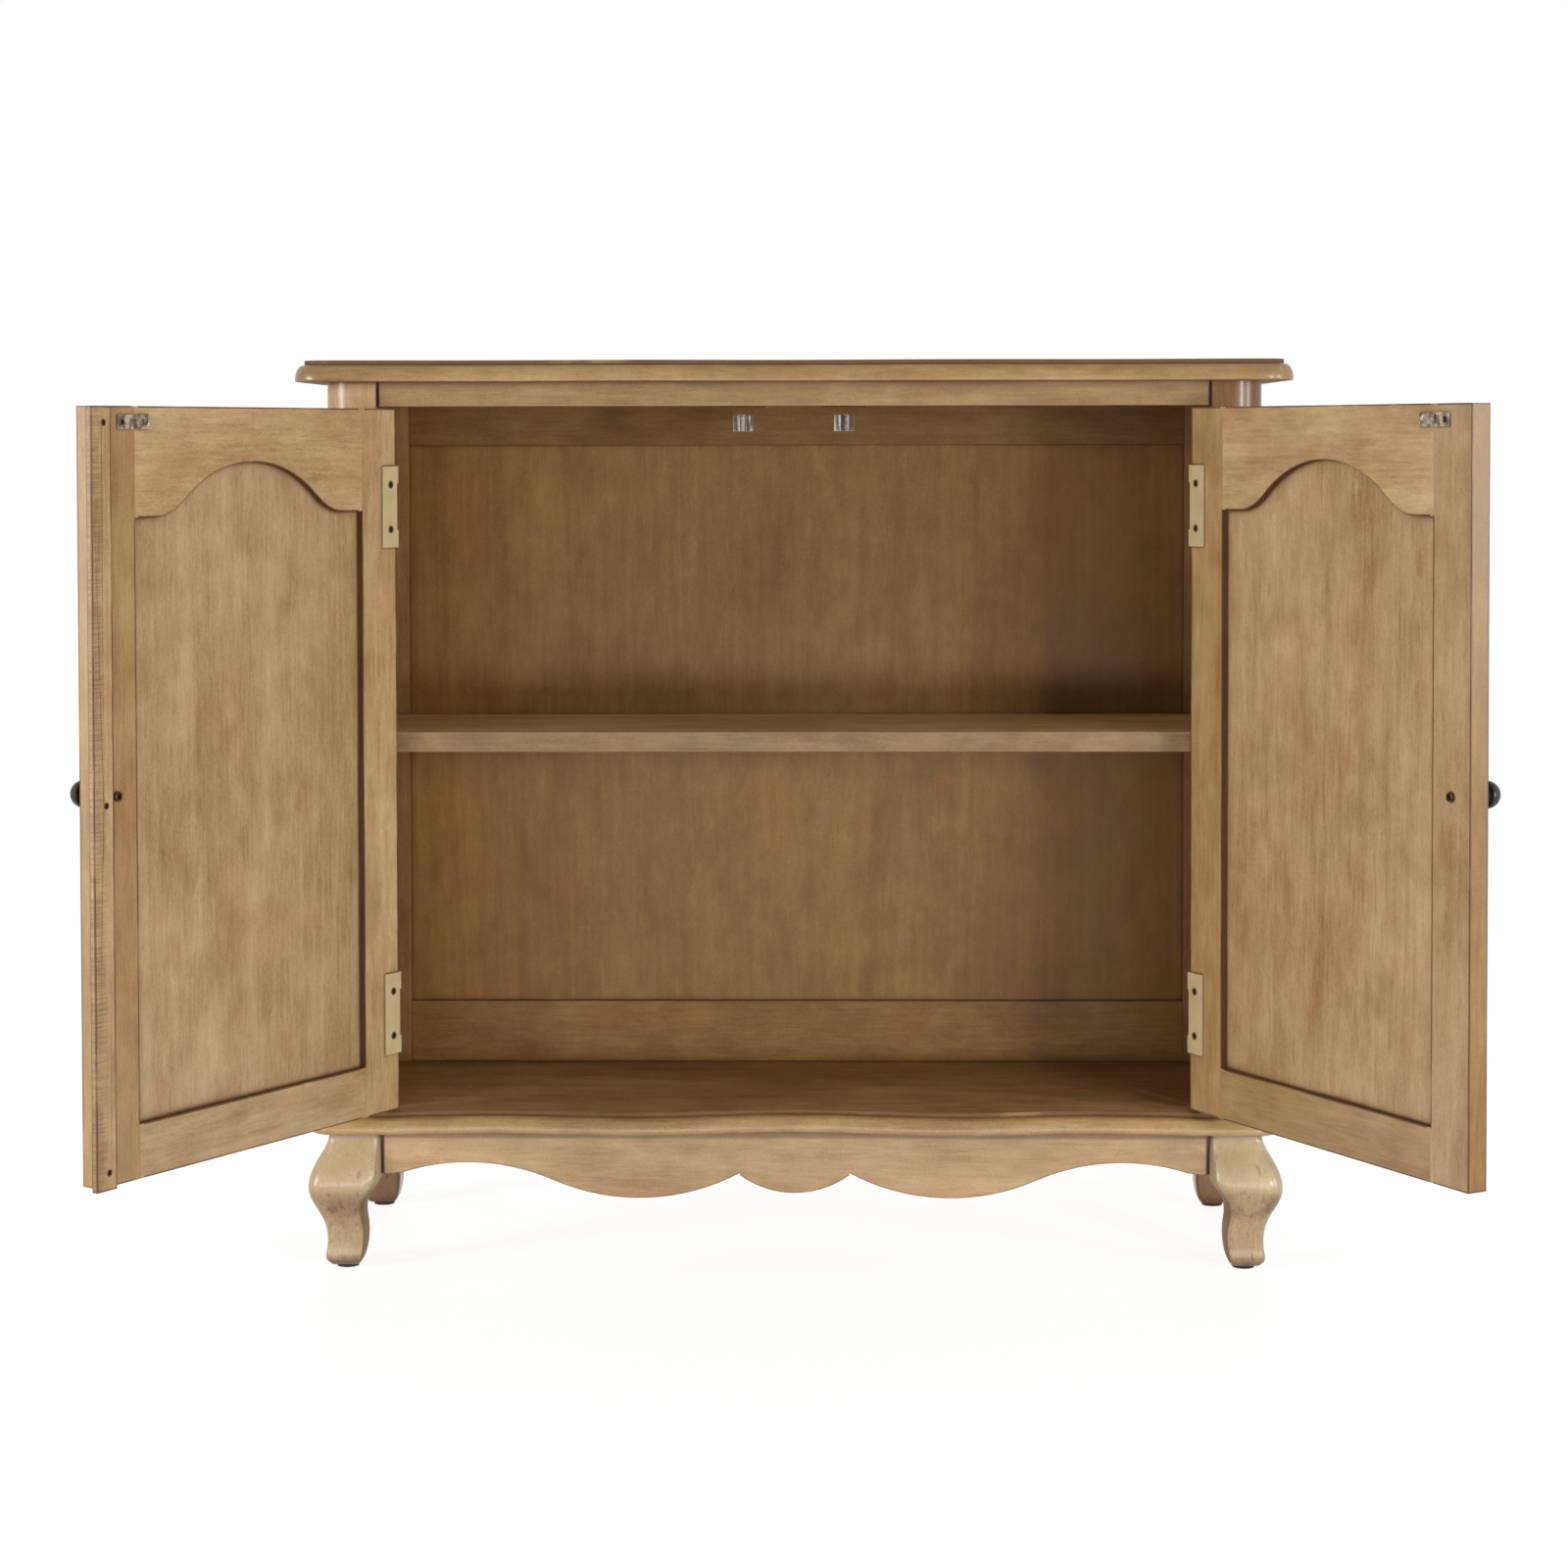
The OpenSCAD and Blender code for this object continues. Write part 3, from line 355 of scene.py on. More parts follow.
# The glaze that gathers on a wash, where it isn't the common brown one.
COMMON_GLAZE = srgb(84, 52, 27)
GLAZES = {"case": srgb(80, 48, 24), "inner": srgb(60, 34, 14), "shelf": srgb(74, 46, 25),
          "foot": srgb(84, 54, 32), "raw": srgb(120, 88, 54)}
WASH_STOPS = (0.22, 0.5, 0.78)
OLIVE, ROSE = (0.975, 1.012, 0.98, 1.0), (1.025, 0.982, 0.975, 1.0)
# Painted light and shade on the back panel: its middle paler and cooler, its sides warmer, its lower half lighter
# and its upper half darker.
WARM_SIDES, PALE_MIDDLE = (1.0, 0.95, 0.80, 1.0), (1.0, 1.06, 1.14, 1.0)
LOWER_HALF, UPPER_HALF = (1.08, 1.08, 1.08, 1.0), (0.95, 0.95, 0.95, 1.0)
print("tones", len(TONES))

# %% Patterns of the wood
# Scale of each pattern across and along the fibres, its detail and its roughness. The large scales
# are pores and flecks of a millimetre, the small ones the slow drift of colour over a board.
PATTERNS = {
    "bands": (26, 2.2, 3, 0.5), "flecks": (420, 38, 2, 0.6), "fibre": (230, 12, 3, 0.6),
    "streaks": (85, 6, 3, 0.5), "clouds": (9, 7, 3, 0.55), "mottle": (50, 30, 3, 0.6),
    "smudges": (24, 13, 4, 0.6), "grit": (800, 400, 1, 0.5), "pores": (900, 60, 1, 0.5),
    "warmth": (15, 9, 3, 0.5), "wobble": (5, 1.2, 1, 0.5), "specks": (170, 130, 2, 0.5),
    "saw_marks": (40, 680, 3, 0.5),
}
# How far each pattern moves the wash to its dark or its light.
TONE_SHARES = {"bands": 0.30, "flecks": 0.34, "fibre": 0.26, "streaks": 0.22, "rings": 0.24,
               "clouds": 0.50, "mottle": 0.42, "grit": 0.30}
# The back panel is smoother than the boards, so its fine patterns show less.
PANEL_SHARES = TONE_SHARES | {"flecks": 0.153, "fibre": 0.117}
GOLDEN = 0.618034
SEED_STEP = (3.7, 5.3, 2.9)
RING_SCALE, RING_DETAIL = 150, 2
HEART_ACROSS, HEART_DEEP, HEART_LEAN = 0.03, 0.09, 0.03
WOBBLE_ACROSS, WOBBLE_DEEP = 0.03, 0.05
print("patterns", len(PATTERNS))

# %% How far each door stands open
PINS = {
    joint["child"]: (Vector(joint["pos_m"]), math.radians(joint["range_deg"][0] * joint["axis"][2]))
    for joint in frame["joints"] if joint["type"] == "hinge"
}
print("doors", {name: round(math.degrees(turn), 1) for name, (_, turn) in PINS.items()})


def closing(body):
    """Matrix that swings a point of a door back to the closed door. Other bodies stay."""
    if body not in PINS:
        return Matrix.Identity(4)
    pin, turn = PINS[body]
    return Matrix.Translation(pin) @ Matrix.Rotation(turn, 4, "Z") @ Matrix.Translation(-pin)


def body_of(name):
    bodies = frame["record"]["behaviour"]["bodies"]
    return next(body for body, names in bodies.items() if name in names)


def closed_box(name):
    """Lowest and highest corner of a node as it is on the closed cabinet."""
    turn = closing(body_of(name))
    points = [turn @ v.co for v in NODES[name].data.vertices]
    return (Vector([min(p[i] for p in points) for i in range(3)]),
            Vector([max(p[i] for p in points) for i in range(3)]))


def turned_back(finish, name, vector, pinned):
    """A place or a direction of a door as it is on the closed door. Others stay as they are."""
    body = body_of(name)
    if body not in PINS:
        return vector
    pin, turn = PINS[body]
    sockets = {"Vector": vector, "Center": pin if pinned else (0, 0, 0), "Angle": turn}
    return finish.node("VectorRotate", {"rotation_type": "Z_AXIS"}, sockets).outputs[0]


# %% Joints and edges that the glaze follows
JOINT_LINE, EDGE_LINE = (3.5 * MM, 5 * MM), (0.9 * MM, 1.7 * MM)


def near(value, joint):
    """1 within a few millimetres of a joint, 0 further off."""
    return 1 - (value - joint).size().between(*JOINT_LINE)


def flush_joint(name, axes):
    """1 along the flush joints of the stiles and rails of a door, where no glaze can gather."""
    side, _, part = name.partition("_")
    if side not in ("left", "right") or not part.endswith(("stile", "rail")):
        return 0.0
    inner, outer = (1, 0) if side == "left" else (0, 1)
    hinge_x = closed_box(side + "_hinge_stile")[inner].x
    lock_x = closed_box(side + "_lock_stile")[outer].x
    if part.endswith("rail"):
        return near(axes["x"], hinge_x) + near(axes["x"], lock_x)
    shoulder = closed_box(side + "_top_rail")[0].z
    sill = closed_box(side + "_bottom_rail")[1].z
    beside_rail = axes["z"].between(shoulder, shoulder + MM) + (1 - axes["z"].between(sill - MM, sill))
    return near(axes["x"], hinge_x if "hinge" in part else lock_x) * beside_rail


def edge_line(board):
    """1 within a millimetre of the edges of a square-cut board, 0 further in."""
    gaps = []
    for i, axis in enumerate("xyz"):
        off = board.axes[axis] - (board.low[i] + board.high[i]) / 2
        gaps.append((board.high[i] - board.low[i]) / 2 - off.size())
    pairs = [gaps[i].larger(gaps[i - 1]) for i in range(3)]
    second = pairs[0].smaller(pairs[1]).smaller(pairs[2])
    return 1 - second.between(*EDGE_LINE)


# %% A board and its masks
RECESS_REACH, SEAM_REACH, EDGE_REACH = 13 * MM, 3 * MM, 2.2 * MM
RECESS_RANGE, SEAM_RANGE, PORE_RANGE = (0.10, 0.50), (0.12, 0.42), (0.60, 0.76)


class Board:
    """One board: its graph, its colours, its own stretch of timber and where glaze can stay."""

    def __init__(self, name, order, tone, seed, share):
        self.name, self.tone = name, tone
        self.finish = finish = new_finish(name + "_wood")
        self.dark, self.mid, self.light = (lit(colour, share) for colour in TONES[tone])
        self.glaze = GLAZES.get(tone, COMMON_GLAZE)
        self.low, self.high = closed_box(name)
        self.axes = finish.axes(turned_back(finish, name, finish.place(), True))
        starts = [step * ((seed * GOLDEN) % 1.0) for step in SEED_STEP]
        parts = [self.axes[axis] + start for axis, start in zip(order, starts)]
        self.timber = finish.joined(*parts)
        self.made = {}
        self.made["rings"] = self.rings(order, seed)
        self.pored = self.pattern("pores").between(*PORE_RANGE)
        self.recess = finish.shut_in(RECESS_REACH, 6).between(*RECESS_RANGE)
        self.seam = finish.shut_in(SEAM_REACH, 5).between(*SEAM_RANGE)
        self.rim = finish.shut_in(EDGE_REACH, 5, inside=True)
        self.free = 1 - flush_joint(name, self.axes)
        self.lined = self.glossy = 1.0
        self.level = self.tone_level()

    def pattern(self, name):
        """One pattern of the timber, which varies round a half."""
        if name not in self.made:
            wide, long, detail, roughness = PATTERNS[name]
            place = self.finish.stretched(self.timber, (wide, wide, long))
            self.made[name] = self.finish.noise(place, detail=detail, roughness=roughness)
        return self.made[name]

    def rings(self, order, seed):
        """Year rings round a heart that lies behind the board and leans to it."""
        middle = dict(zip("xyz", (self.low + self.high) / 2))
        side, deep, slope = (self.axes[axis] - middle[axis] for axis in order)
        wobble = self.pattern("wobble") - 0.5
        side = side - HEART_ACROSS + WOBBLE_ACROSS * wobble
        deep = deep - HEART_DEEP + HEART_LEAN * slope + WOBBLE_DEEP * wobble
        radius = self.finish.measure("LENGTH", self.finish.joined(side, deep, 0.0))
        return self.finish.noise(self.finish.joined(radius * RING_SCALE, seed, 0.0), detail=RING_DETAIL)

    def tone_level(self):
        """Where each point lies between the dark and the light of the wash."""
        shares = PANEL_SHARES if self.name == "back_panel" else TONE_SHARES
        return (0.5 + sum(share * (self.pattern(name) - 0.5) for name, share in shares.items())).limit()

    def washed(self, colours):
        stops = list(zip(WASH_STOPS, colours))
        return self.finish.node("ValToRGB", {"stops": stops}, {0: self.level}).outputs[0]

    def facing(self, direction, soft=(0.55, 0.70)):
        """1 on the faces that look the given way on the closed cabinet, 0 on the others."""
        normal = self.finish.node("TexCoord").outputs["Normal"]
        normal = turned_back(self.finish, self.name, normal, False)
        return self.finish.measure("DOT_PRODUCT", normal, Vector(direction).normalized()).between(*soft)


# %% Honey wash
MATT_FACES = ("inner", "floor", "lit_shelf_top", "shaded_foot")


def honey_wash(board):
    """The wash with its drift of tint, its smudges and pores, and the worn, paler edges."""
    mix, pattern = board.finish.mix, board.pattern
    colour = board.washed((board.dark, board.mid, board.light))
    colour = mix(1.0, colour, mix(pattern("warmth").between(0.34, 0.66), OLIVE, ROSE), "MULTIPLY")
    stained = pattern("smudges").between(0.50, 0.74) * 0.42 + board.pored * 0.20
    colour = mix(stained.limit(), colour, board.dark)
    worn = board.rim.between(0.12, 0.34) * pattern("mottle").between(0.34, 0.60) * board.free * 0.35
    return mix(worn.limit(), colour, board.light)


def other_faces(board, colour, others):
    """Faces that take another tone than the rest of their board, partly stain and glaze and partly painted light
    and shade.
    """
    for direction, tone in others:
        turned = board.facing(direction)
        colour = board.finish.mix(turned, colour, board.washed(TONES[tone]))
        if tone == "inner":
            board.lined = 1 - turned
        if tone in MATT_FACES:
            board.glossy = 1 - turned
    return colour


def painted_light_and_shade(board, colour):
    """Painted shade and light: the right post is painted brown at its top, the back panel paler in its middle and
    darker right.
    """
    mix, across, height = board.finish.mix, board.axes["x"], board.axes["z"]
    # Painted shade over the top of the right post.
    if board.name == "front_right_post":
        colour = mix(height.between(0.76, 0.81), colour, board.washed(TONES["brown"]))
    # Painted light and shade on the back panel: paler and cooler in its middle, darker in its upper half and
    # towards its right end.
    if board.name == "back_panel":
        middle = across.between(-0.36, -0.12) * (1 - across.between(0.08, 0.30))
        colour = mix(1.0, colour, mix(middle, WARM_SIDES, PALE_MIDDLE), "MULTIPLY")
        colour = mix(1.0, colour, mix(height.between(0.43, 0.47), LOWER_HALF, UPPER_HALF), "MULTIPLY")
        colour = mix(across.between(0.16, 0.32) * 0.36, colour, board.dark)
    return colour


# %% Brown glaze
# How much glaze a tone keeps in its recesses, in its seams and along its edges. Tones that aren't
# named keep all of it, and nine tenths along their edges.
RECESS_SHARE = {"inner": 0.35, "raw": 0.0, "shelf": 0.7}
SEAM_SHARE = {"inner": 0.6, "raw": 0.0, "shelf": 0.7}
EDGE_SHARE = {"inner": 0.3, "raw": 0.0, "foot": 0.5, "shelf": 0.4}
PALE_EDGES = ("front_rail", "shelf")
LINED_EDGES = ("stile", "top_rail", "bottom_rail", "cover_strip")
# The small step over the quirk of the mouldings is darker: its height and how much.
FILLETS = {"top_board": (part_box("top_board")[1].z - 4.5 * MM, 0.75),
           "bottom_board": (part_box("bottom_board")[1].z - 4.5 * MM, 0.65)}


def brown_glaze(board, colour):
    """Glaze along the edges and in the recesses and seams. The second result is how much there is."""
    mix, tone, smudges = board.finish.mix, board.tone, board.pattern("smudges")
    arris = board.rim.between(0.20, 0.36) * smudges.between(0.28, 0.46) * board.free * board.lined
    colour = mix((arris * EDGE_SHARE.get(tone, 0.9)).limit(), colour, board.glaze)
    if board.name in PALE_EDGES:
        colour = mix(edge_line(board) * 0.5, colour, board.light)
    elif board.name.endswith(LINED_EDGES) and not board.name.startswith("back"):
        line = edge_line(board) * board.free * (0.42 + 0.58 * smudges.between(0.36, 0.52))
        colour = mix((line * 0.95).limit(), colour, board.glaze)
    patches = board.pattern("clouds").between(0.36, 0.66)
    glazed = (board.recess * (0.44 + 0.60 * patches) * RECESS_SHARE.get(tone, 1.0)
              + 0.85 * board.seam * board.free * SEAM_SHARE.get(tone, 1.0))
    glazed = (glazed * (0.35 + 0.65 * board.lined)).limit()
    return mix(glazed, colour, board.glaze), glazed


def foot_marks(board, colour):
    """A foot is paler on its knee and darker below it, and keeps glaze at the ankle, the toe and in specks."""
    mix, height, smudges = board.finish.mix, board.axes["z"], board.pattern("smudges")
    knee = height.between(60 * MM, 88 * MM)
    ankle = height.between(44 * MM, 60 * MM) * (1 - height.between(64 * MM, 88 * MM))
    toe = 1 - height.between(4 * MM, 18 * MM)
    blots = smudges.between(0.44, 0.60) * 0.35 + board.pattern("mottle").between(0.50, 0.60) * 0.45
    specks = board.pattern("specks").between(0.62, 0.72)
    held = toe * smudges.between(0.36, 0.56) * 0.75 + specks * 0.35 + ankle * blots
    colour = mix(knee * 0.55, mix(0.34, colour, board.dark), mix(0.6, colour, board.light))
    return mix(held.limit(), colour, board.glaze)


def glaze_marks(board, colour):
    """Glaze and marks that belong to one kind of piece, and a painted shadow under the bottom board."""
    mix, high, height = board.finish.mix, board.high, board.axes["z"]
    smudges = board.pattern("smudges")
    if board.tone == "foot":
        colour = foot_marks(board, colour)
    # Painted shadow on the apron and the front feet, just under the nosing of the bottom board.
    if board.name.startswith("front") and board.name.endswith(("apron", "foot")):
        painted_nosing_shadow = height.between(high.z - 10.5 * MM, high.z - 7.5 * MM)
        colour = mix(painted_nosing_shadow * 0.5, colour, board.glaze)
    if board.name == "cover_strip":
        outer_part = board.axes["x"].between(high.x - 18 * MM, high.x - 6 * MM)
        sawn = board.pattern("saw_marks").between(0.40, 0.62) * 0.32
        colour = mix(outer_part * (sawn + smudges.between(0.36, 0.56) * 0.22), colour, board.glaze)
    if board.name in FILLETS:
        level, share = FILLETS[board.name]
        step = height.between(level, level + MM) * (1 - board.facing((0, 0, 1), (0.85, 0.97)))
        colour = mix((step * smudges.between(0.28, 0.44) * share).limit(), colour, board.glaze)
        board.glossy = board.glossy * (1 - step)
    return colour


# %% The wood finish
# Share of clear coat and strength of the mirror, by tone.
SHINE = {"outer": (0.26, 0.34), "inner": (0.0, 0.16), "raw": (0.0, 0.25), "shelf": (0.04, 0.22),
         "case": (0.40, 0.34), "foot": (0.34, 0.34)}
ROUGHNESS, MATT_ROUGHNESS, COAT_ROUGHNESS = 0.38, 0.30, 0.20
RELIEF_STRENGTH, RELIEF_DEPTH = 0.35, 0.4 * MM


def wood(name, order, tone, seed, share, others):
    """Honey wash over fine grain, with glaze in the recesses and rubbed edges."""
    board = Board(name, order, tone, seed, share)
    colour = other_faces(board, honey_wash(board), others)
    colour, glazed = brown_glaze(board, painted_light_and_shade(board, colour))
    colour = glaze_marks(board, colour)
    finish, pattern = board.finish, board.pattern
    relief = (pattern("fibre") * 0.4 + pattern("flecks") * 0.3 - board.pored * 0.6
              + pattern("mottle") * 0.3)
    bump = finish.node("Bump", None, {"Strength": RELIEF_STRENGTH, "Distance": RELIEF_DEPTH,
                                      "Height": relief})
    roughness = (ROUGHNESS + 0.16 * (pattern("flecks") - 0.5) + 0.22 * (pattern("clouds") - 0.5)
                 + 0.14 * glazed + MATT_ROUGHNESS * (1 - board.glossy)).limit()
    coat, mirror = SHINE.get(tone, SHINE["outer"])
    finish.finish_with(finish.node("BsdfPrincipled", None, {
        "Base Color": colour, "Roughness": roughness, "Normal": bump.outputs[0],
        "Coat Weight": board.glossy * coat, "Coat Roughness": COAT_ROUGHNESS,
        "Specular IOR Level": mirror,
    }))
    return finish.owner


# %% [markdown]
# ## Metal parts
# The hinge leaves are pressed steel under a dull brass wash, the catches bright steel, the screws
# dark and the knobs black with a soft shine. A metal is mostly what it mirrors, so its look lies in
# how the roughness varies: fine brushing, blots where the wash is thin, and a paler rim where hands
# and tools rub it.

# %% Solids of a node
SAME_LEVEL = 0.02 * MM


def islands(mesh):
    """The separate solids of a mesh, as lists of points, in a fixed order."""
    joined = bmesh.new()
    joined.from_mesh(mesh)
    bmesh.ops.remove_doubles(joined, verts=joined.verts, dist=SAME_POINT)
    joined.verts.index_update()
    met, groups = set(), []
    for start in joined.verts:
        if start.index in met:
            continue
        met.add(start.index)
        todo, group = [start], []
        while todo:
            vert = todo.pop()
            group.append(vert.co.copy())
            for edge in vert.link_edges:
                other = edge.other_vert(vert)
                if other.index not in met:
                    met.add(other.index)
                    todo.append(other)
        groups.append(group)
    joined.free()
    return groups


def inward(body):
    """Direction from the back face of a door, as it stands open."""
    return closing(body).inverted().to_3x3() @ Vector((0, 1, 0))


def head_centres(name):
    """Middle of the face of each screw of a door."""
    axis = inward(body_of(name))
    middles = []
    for group in islands(NODES[name].data):
        top = max(p.dot(axis) for p in group)
        rim = [p for p in group if top - p.dot(axis) < SAME_LEVEL]
        middles.append(sum(rim, Vector()) / len(rim))
    return middles


# %% The metal finish
RIM_REACH, DIP_REACH = 0.8 * MM, 3 * MM
SUNK_RING = (3.4 * MM, 4.2 * MM)
BRUSH_DEPTH = 0.1 * MM
SHADE_BROWN, SUNK_SHADE = srgb(92, 64, 34), srgb(88, 70, 42)


def metal(name, base, dull, roughness, metallic, brush=(400, 400, 40), blots=300, wear=0.25,
          shine=0.5, streaked=0.0, dark_above=None, sunk_at=()):
    """Brushed metal with blots of its dull tone, a paler rim, grime in its corners, and where asked, painted shade
    round sunk screws and over its top.
    """
    finish = new_finish(name)
    place = finish.place()
    brushed = finish.noise(finish.stretched(place, brush), detail=3)
    blotted = finish.noise(place, scale=blots, detail=3)
    rim = finish.shut_in(RIM_REACH, 4, inside=True).between(0.18, 0.45)
    grime = finish.shut_in(DIP_REACH, 4).between(0.15, 0.55)
    colour = finish.mix(blotted.between(0.35, 0.70) * 0.6, base, dull)
    colour = finish.mix(brushed.between(0.42, 0.58) * streaked, colour, dull)
    colour = finish.mix(rim * 0.35, colour, lit(base, 1.5))
    colour = finish.mix(grime * 0.65, colour, lit(dull, 0.25))
    # Painted shade of a countersink round each screw head.
    for centre in sunk_at:
        sunk = 1 - finish.measure("DISTANCE", place, centre).between(*SUNK_RING)
        colour = finish.mix(sunk * 0.8, colour, SUNK_SHADE)
    # Painted shade: the top of the piece, in the shade under the rail, turns dark brown.
    if dark_above:
        darkened = finish.axes(place)["z"].between(dark_above, dark_above + 3 * MM)
        colour = finish.mix(darkened, colour, SHADE_BROWN)
    bump = finish.node("Bump", None, {"Strength": wear, "Distance": BRUSH_DEPTH, "Height": brushed})
    finish.finish_with(finish.node("BsdfPrincipled", None, {
        "Base Color": colour, "Metallic": metallic, "Normal": bump.outputs[0],
        "Roughness": (roughness + wear * (brushed - 0.5) + wear * (blotted - 0.5)).limit(),
        "Specular IOR Level": shine,
    }))
    return finish.owner


METALS = {
    "hinge_metal": metal("dull_brass", srgb(206, 187, 144), srgb(188, 167, 122), 0.42, 0.4,
                         brush=(220, 220, 24), blots=45, wear=0.10,
                         sunk_at=head_centres("left_leaf_screws") + head_centres("right_leaf_screws")),
    # Painted shade: the catches turn dark brown over their top, under the rail.
    "catch_steel": metal("bright_steel", srgb(196, 188, 176), srgb(62, 48, 42), 0.24, 0.9,
                         brush=(210, 210, 14), blots=140, wear=0.12, streaked=0.9, dark_above=0.8105),
    "strike_steel": metal("strike_steel", srgb(222, 212, 194), srgb(82, 64, 44), 0.28, 0.75,
                          brush=(190, 190, 60), blots=260, wear=0.16, streaked=0.8),
    "leaf_shade": metal("shaded_brass", srgb(120, 98, 62), srgb(88, 68, 40), 0.48, 0.3, wear=0.10),
    "pin_steel": metal("pin_steel", srgb(170, 168, 162), srgb(126, 122, 114), 0.25, 1.0),
    "screw_steel": metal("dark_screws", srgb(74, 58, 38), srgb(44, 33, 22), 0.38, 0.8),
    "knob_black": metal("black_knobs", srgb(30, 25, 23), srgb(20, 16, 15), 0.34, 0.0, shine=0.40),
    "glide": metal("dark_glides", srgb(34, 29, 26), srgb(22, 18, 16), 0.55, 0.0, shine=0.3),
}
print("metals", len(METALS))

# %% [markdown]
# ## Boards that keep their shape
# Most boards are right as they come. They only lack what a plane and sandpaper do: no real edge is
# sharp, and a softened one catches a thin line of light. A bevel modifier adds it without touching
# the mesh. The mesh is cut apart along its edges, so a weld comes first, and weighted normals keep
# the faces flat.

# %% Softened edges
EASED_EDGE, FLUSH_EDGE = 0.9 * MM, 0.35 * MM
EDGE_SEGMENTS, SHARP_FROM = 2, 35


def soften(piece, width):
    weld = piece.modifiers.new("weld", "WELD")
    weld.merge_threshold = SAME_POINT
    bevel = piece.modifiers.new("soft_edges", "BEVEL")
    bevel.width = width
    bevel.segments = EDGE_SEGMENTS
    bevel.limit_method = "ANGLE"
    bevel.angle_limit = math.radians(SHARP_FROM)
    normals = piece.modifiers.new("flat_faces", "WEIGHTED_NORMAL")
    normals.keep_sharp = True


def dress(piece, material):
    if not piece.material_slots:
        piece.data.materials.append(material)
    for slot in piece.material_slots:
        slot.link = "OBJECT"
        slot.material = material


# %% Grain of each board
# Each order names the axis across the face, the one into the board and the one along its fibres.
ACROSS_FRONT, FLAT_BOARD, UPRIGHT, SIDE_UPRIGHT, SIDE_RAIL = "zyx", "yzx", "xyz", "yxz", "zxy"
CORNERS = ("front_left", "front_right", "back_left", "back_right")
GRAIN = [
    (FLAT_BOARD, "case", ("top_board", "bottom_board")),
    (FLAT_BOARD, "shelf", ("shelf",)),
    (ACROSS_FRONT, "case", ("front_rail",)),
    (ACROSS_FRONT, "outer", ("front_apron", "back_apron", "left_top_rail", "right_top_rail",
                             "left_bottom_rail")),
    (ACROSS_FRONT, "tan", ("right_bottom_rail",)),
    (ACROSS_FRONT, "inner", ("back_top_rail", "back_bottom_rail")),
    (SIDE_RAIL, "outer", ("left_side_apron", "right_side_apron")),
    (SIDE_UPRIGHT, "outer", ("left_side_board", "right_side_board")),
    (UPRIGHT, "inner", ("back_panel",)),
    (UPRIGHT, "raw", ("corner_blocks",)),
    (UPRIGHT, "tan", ("left_lock_stile", "right_hinge_stile")),
    (UPRIGHT, "outer", ("left_hinge_stile", "right_lock_stile", "left_door_panel",
                        "right_door_panel", "cover_strip")),
    (UPRIGHT, "outer", [corner + "_post" for corner in CORNERS]),
    (UPRIGHT, "foot", [corner + "_foot" for corner in CORNERS]),
]
BOARDS = {name: (order, tone) for order, tone, names in GRAIN for name in names}

# No two boards take the wash alike: the share of light that each returns next to its neighbours.
# Part of it is tone that differs from board to board, and part is painted light and shade, set for
# the light that each board stands in.
TONE_AND_PAINTED_LIGHT = {
    "top_board": 0.97, "bottom_board": 1.12, "front_rail": 0.86, "front_apron": 0.97,
    "front_left_post": 1.10, "front_left_foot": 1.06, "front_right_foot": 1.03,
    "back_panel": 1.06, "back_top_rail": 0.75, "back_bottom_rail": 1.07,
    "left_hinge_stile": 1.04, "left_lock_stile": 0.78, "left_top_rail": 1.06,
    "left_bottom_rail": 0.88, "left_door_panel": 0.88, "right_hinge_stile": 0.88,
    "right_lock_stile": 0.94, "right_top_rail": 1.10, "right_bottom_rail": 0.79,
}

# Faces that look a certain way and have another tone than the rest of their board: first those that
# line the case, partly a darker stain and partly painted shade, and the tops of the bottom board and
# the shelf, which carry painted light; then those of the door frames, where the glaze has run
# together in the steps round the panels and painted shade darkens them further, and whose free edges
# carry painted shade; and last the sides of the feet that stand in their own shade.
OTHER_FACES = {
    "front_left_post": [((1, 1, 0), "inner")], "front_right_post": [((-1, 1, 0), "inner")],
    "back_left_post": [((1, -1, 0), "inner")], "back_right_post": [((-1, -1, 0), "inner")],
    "left_side_board": [((1, 0, 0), "inner")], "right_side_board": [((-1, 0, 0), "inner")],
    "top_board": [((0, 0, -1), "inner")], "front_rail": [((0, 1, -1), "inner")],
    "bottom_board": [((0, 0, 1), "floor")], "shelf": [((0, 0, 1), "lit_shelf_top")],
    "left_hinge_stile": [((1, 0, 0), "glazed_shaded_lip")], "right_hinge_stile": [((-1, 0, 0), "glazed_shaded_lip")],
    "left_lock_stile": [((-1, 0, 0), "glazed_shaded_lip"), ((1, 0, 0), "shaded_left_edge")],
    "right_lock_stile": [((1, 0, 0), "glazed_shaded_lip"), ((-1, 0, 0), "shaded_right_edge")],
    "left_top_rail": [((0, 0, -1), "glazed_shaded_lip")], "right_top_rail": [((0, 0, -1), "glazed_shaded_lip")],
    "left_bottom_rail": [((0, 0, 1), "glazed_shaded_lip")], "right_bottom_rail": [((0, 0, 1), "glazed_shaded_lip")],
    "cover_strip": [((1, 0, 0), "shaded_left_edge")],
    "front_left_foot": [((1, 0, 0), "shaded_foot")],
    "front_right_foot": [((-1, 0, 0), "shaded_foot")],
    "back_left_foot": [((0.2, -1, 0), "shaded_foot")],
    "back_right_foot": [((-0.2, -1, 0), "shaded_foot")],
}
print("boards", len(BOARDS))

# %% Finish the boards
WOODS = {}
for seed, (name, (order, tone)) in enumerate(sorted(BOARDS.items())):
    WOODS[name] = wood(name, order, tone, seed + 1, TONE_AND_PAINTED_LIGHT.get(name, 1.0),
                       OTHER_FACES.get(name, ()))
    dress(NODES[name], WOODS[name])
    if "foot" not in name:
        soften(NODES[name], FLUSH_EDGE if name.endswith(("stile", "_rail")) else EASED_EDGE)
print("wood finishes", len(WOODS))

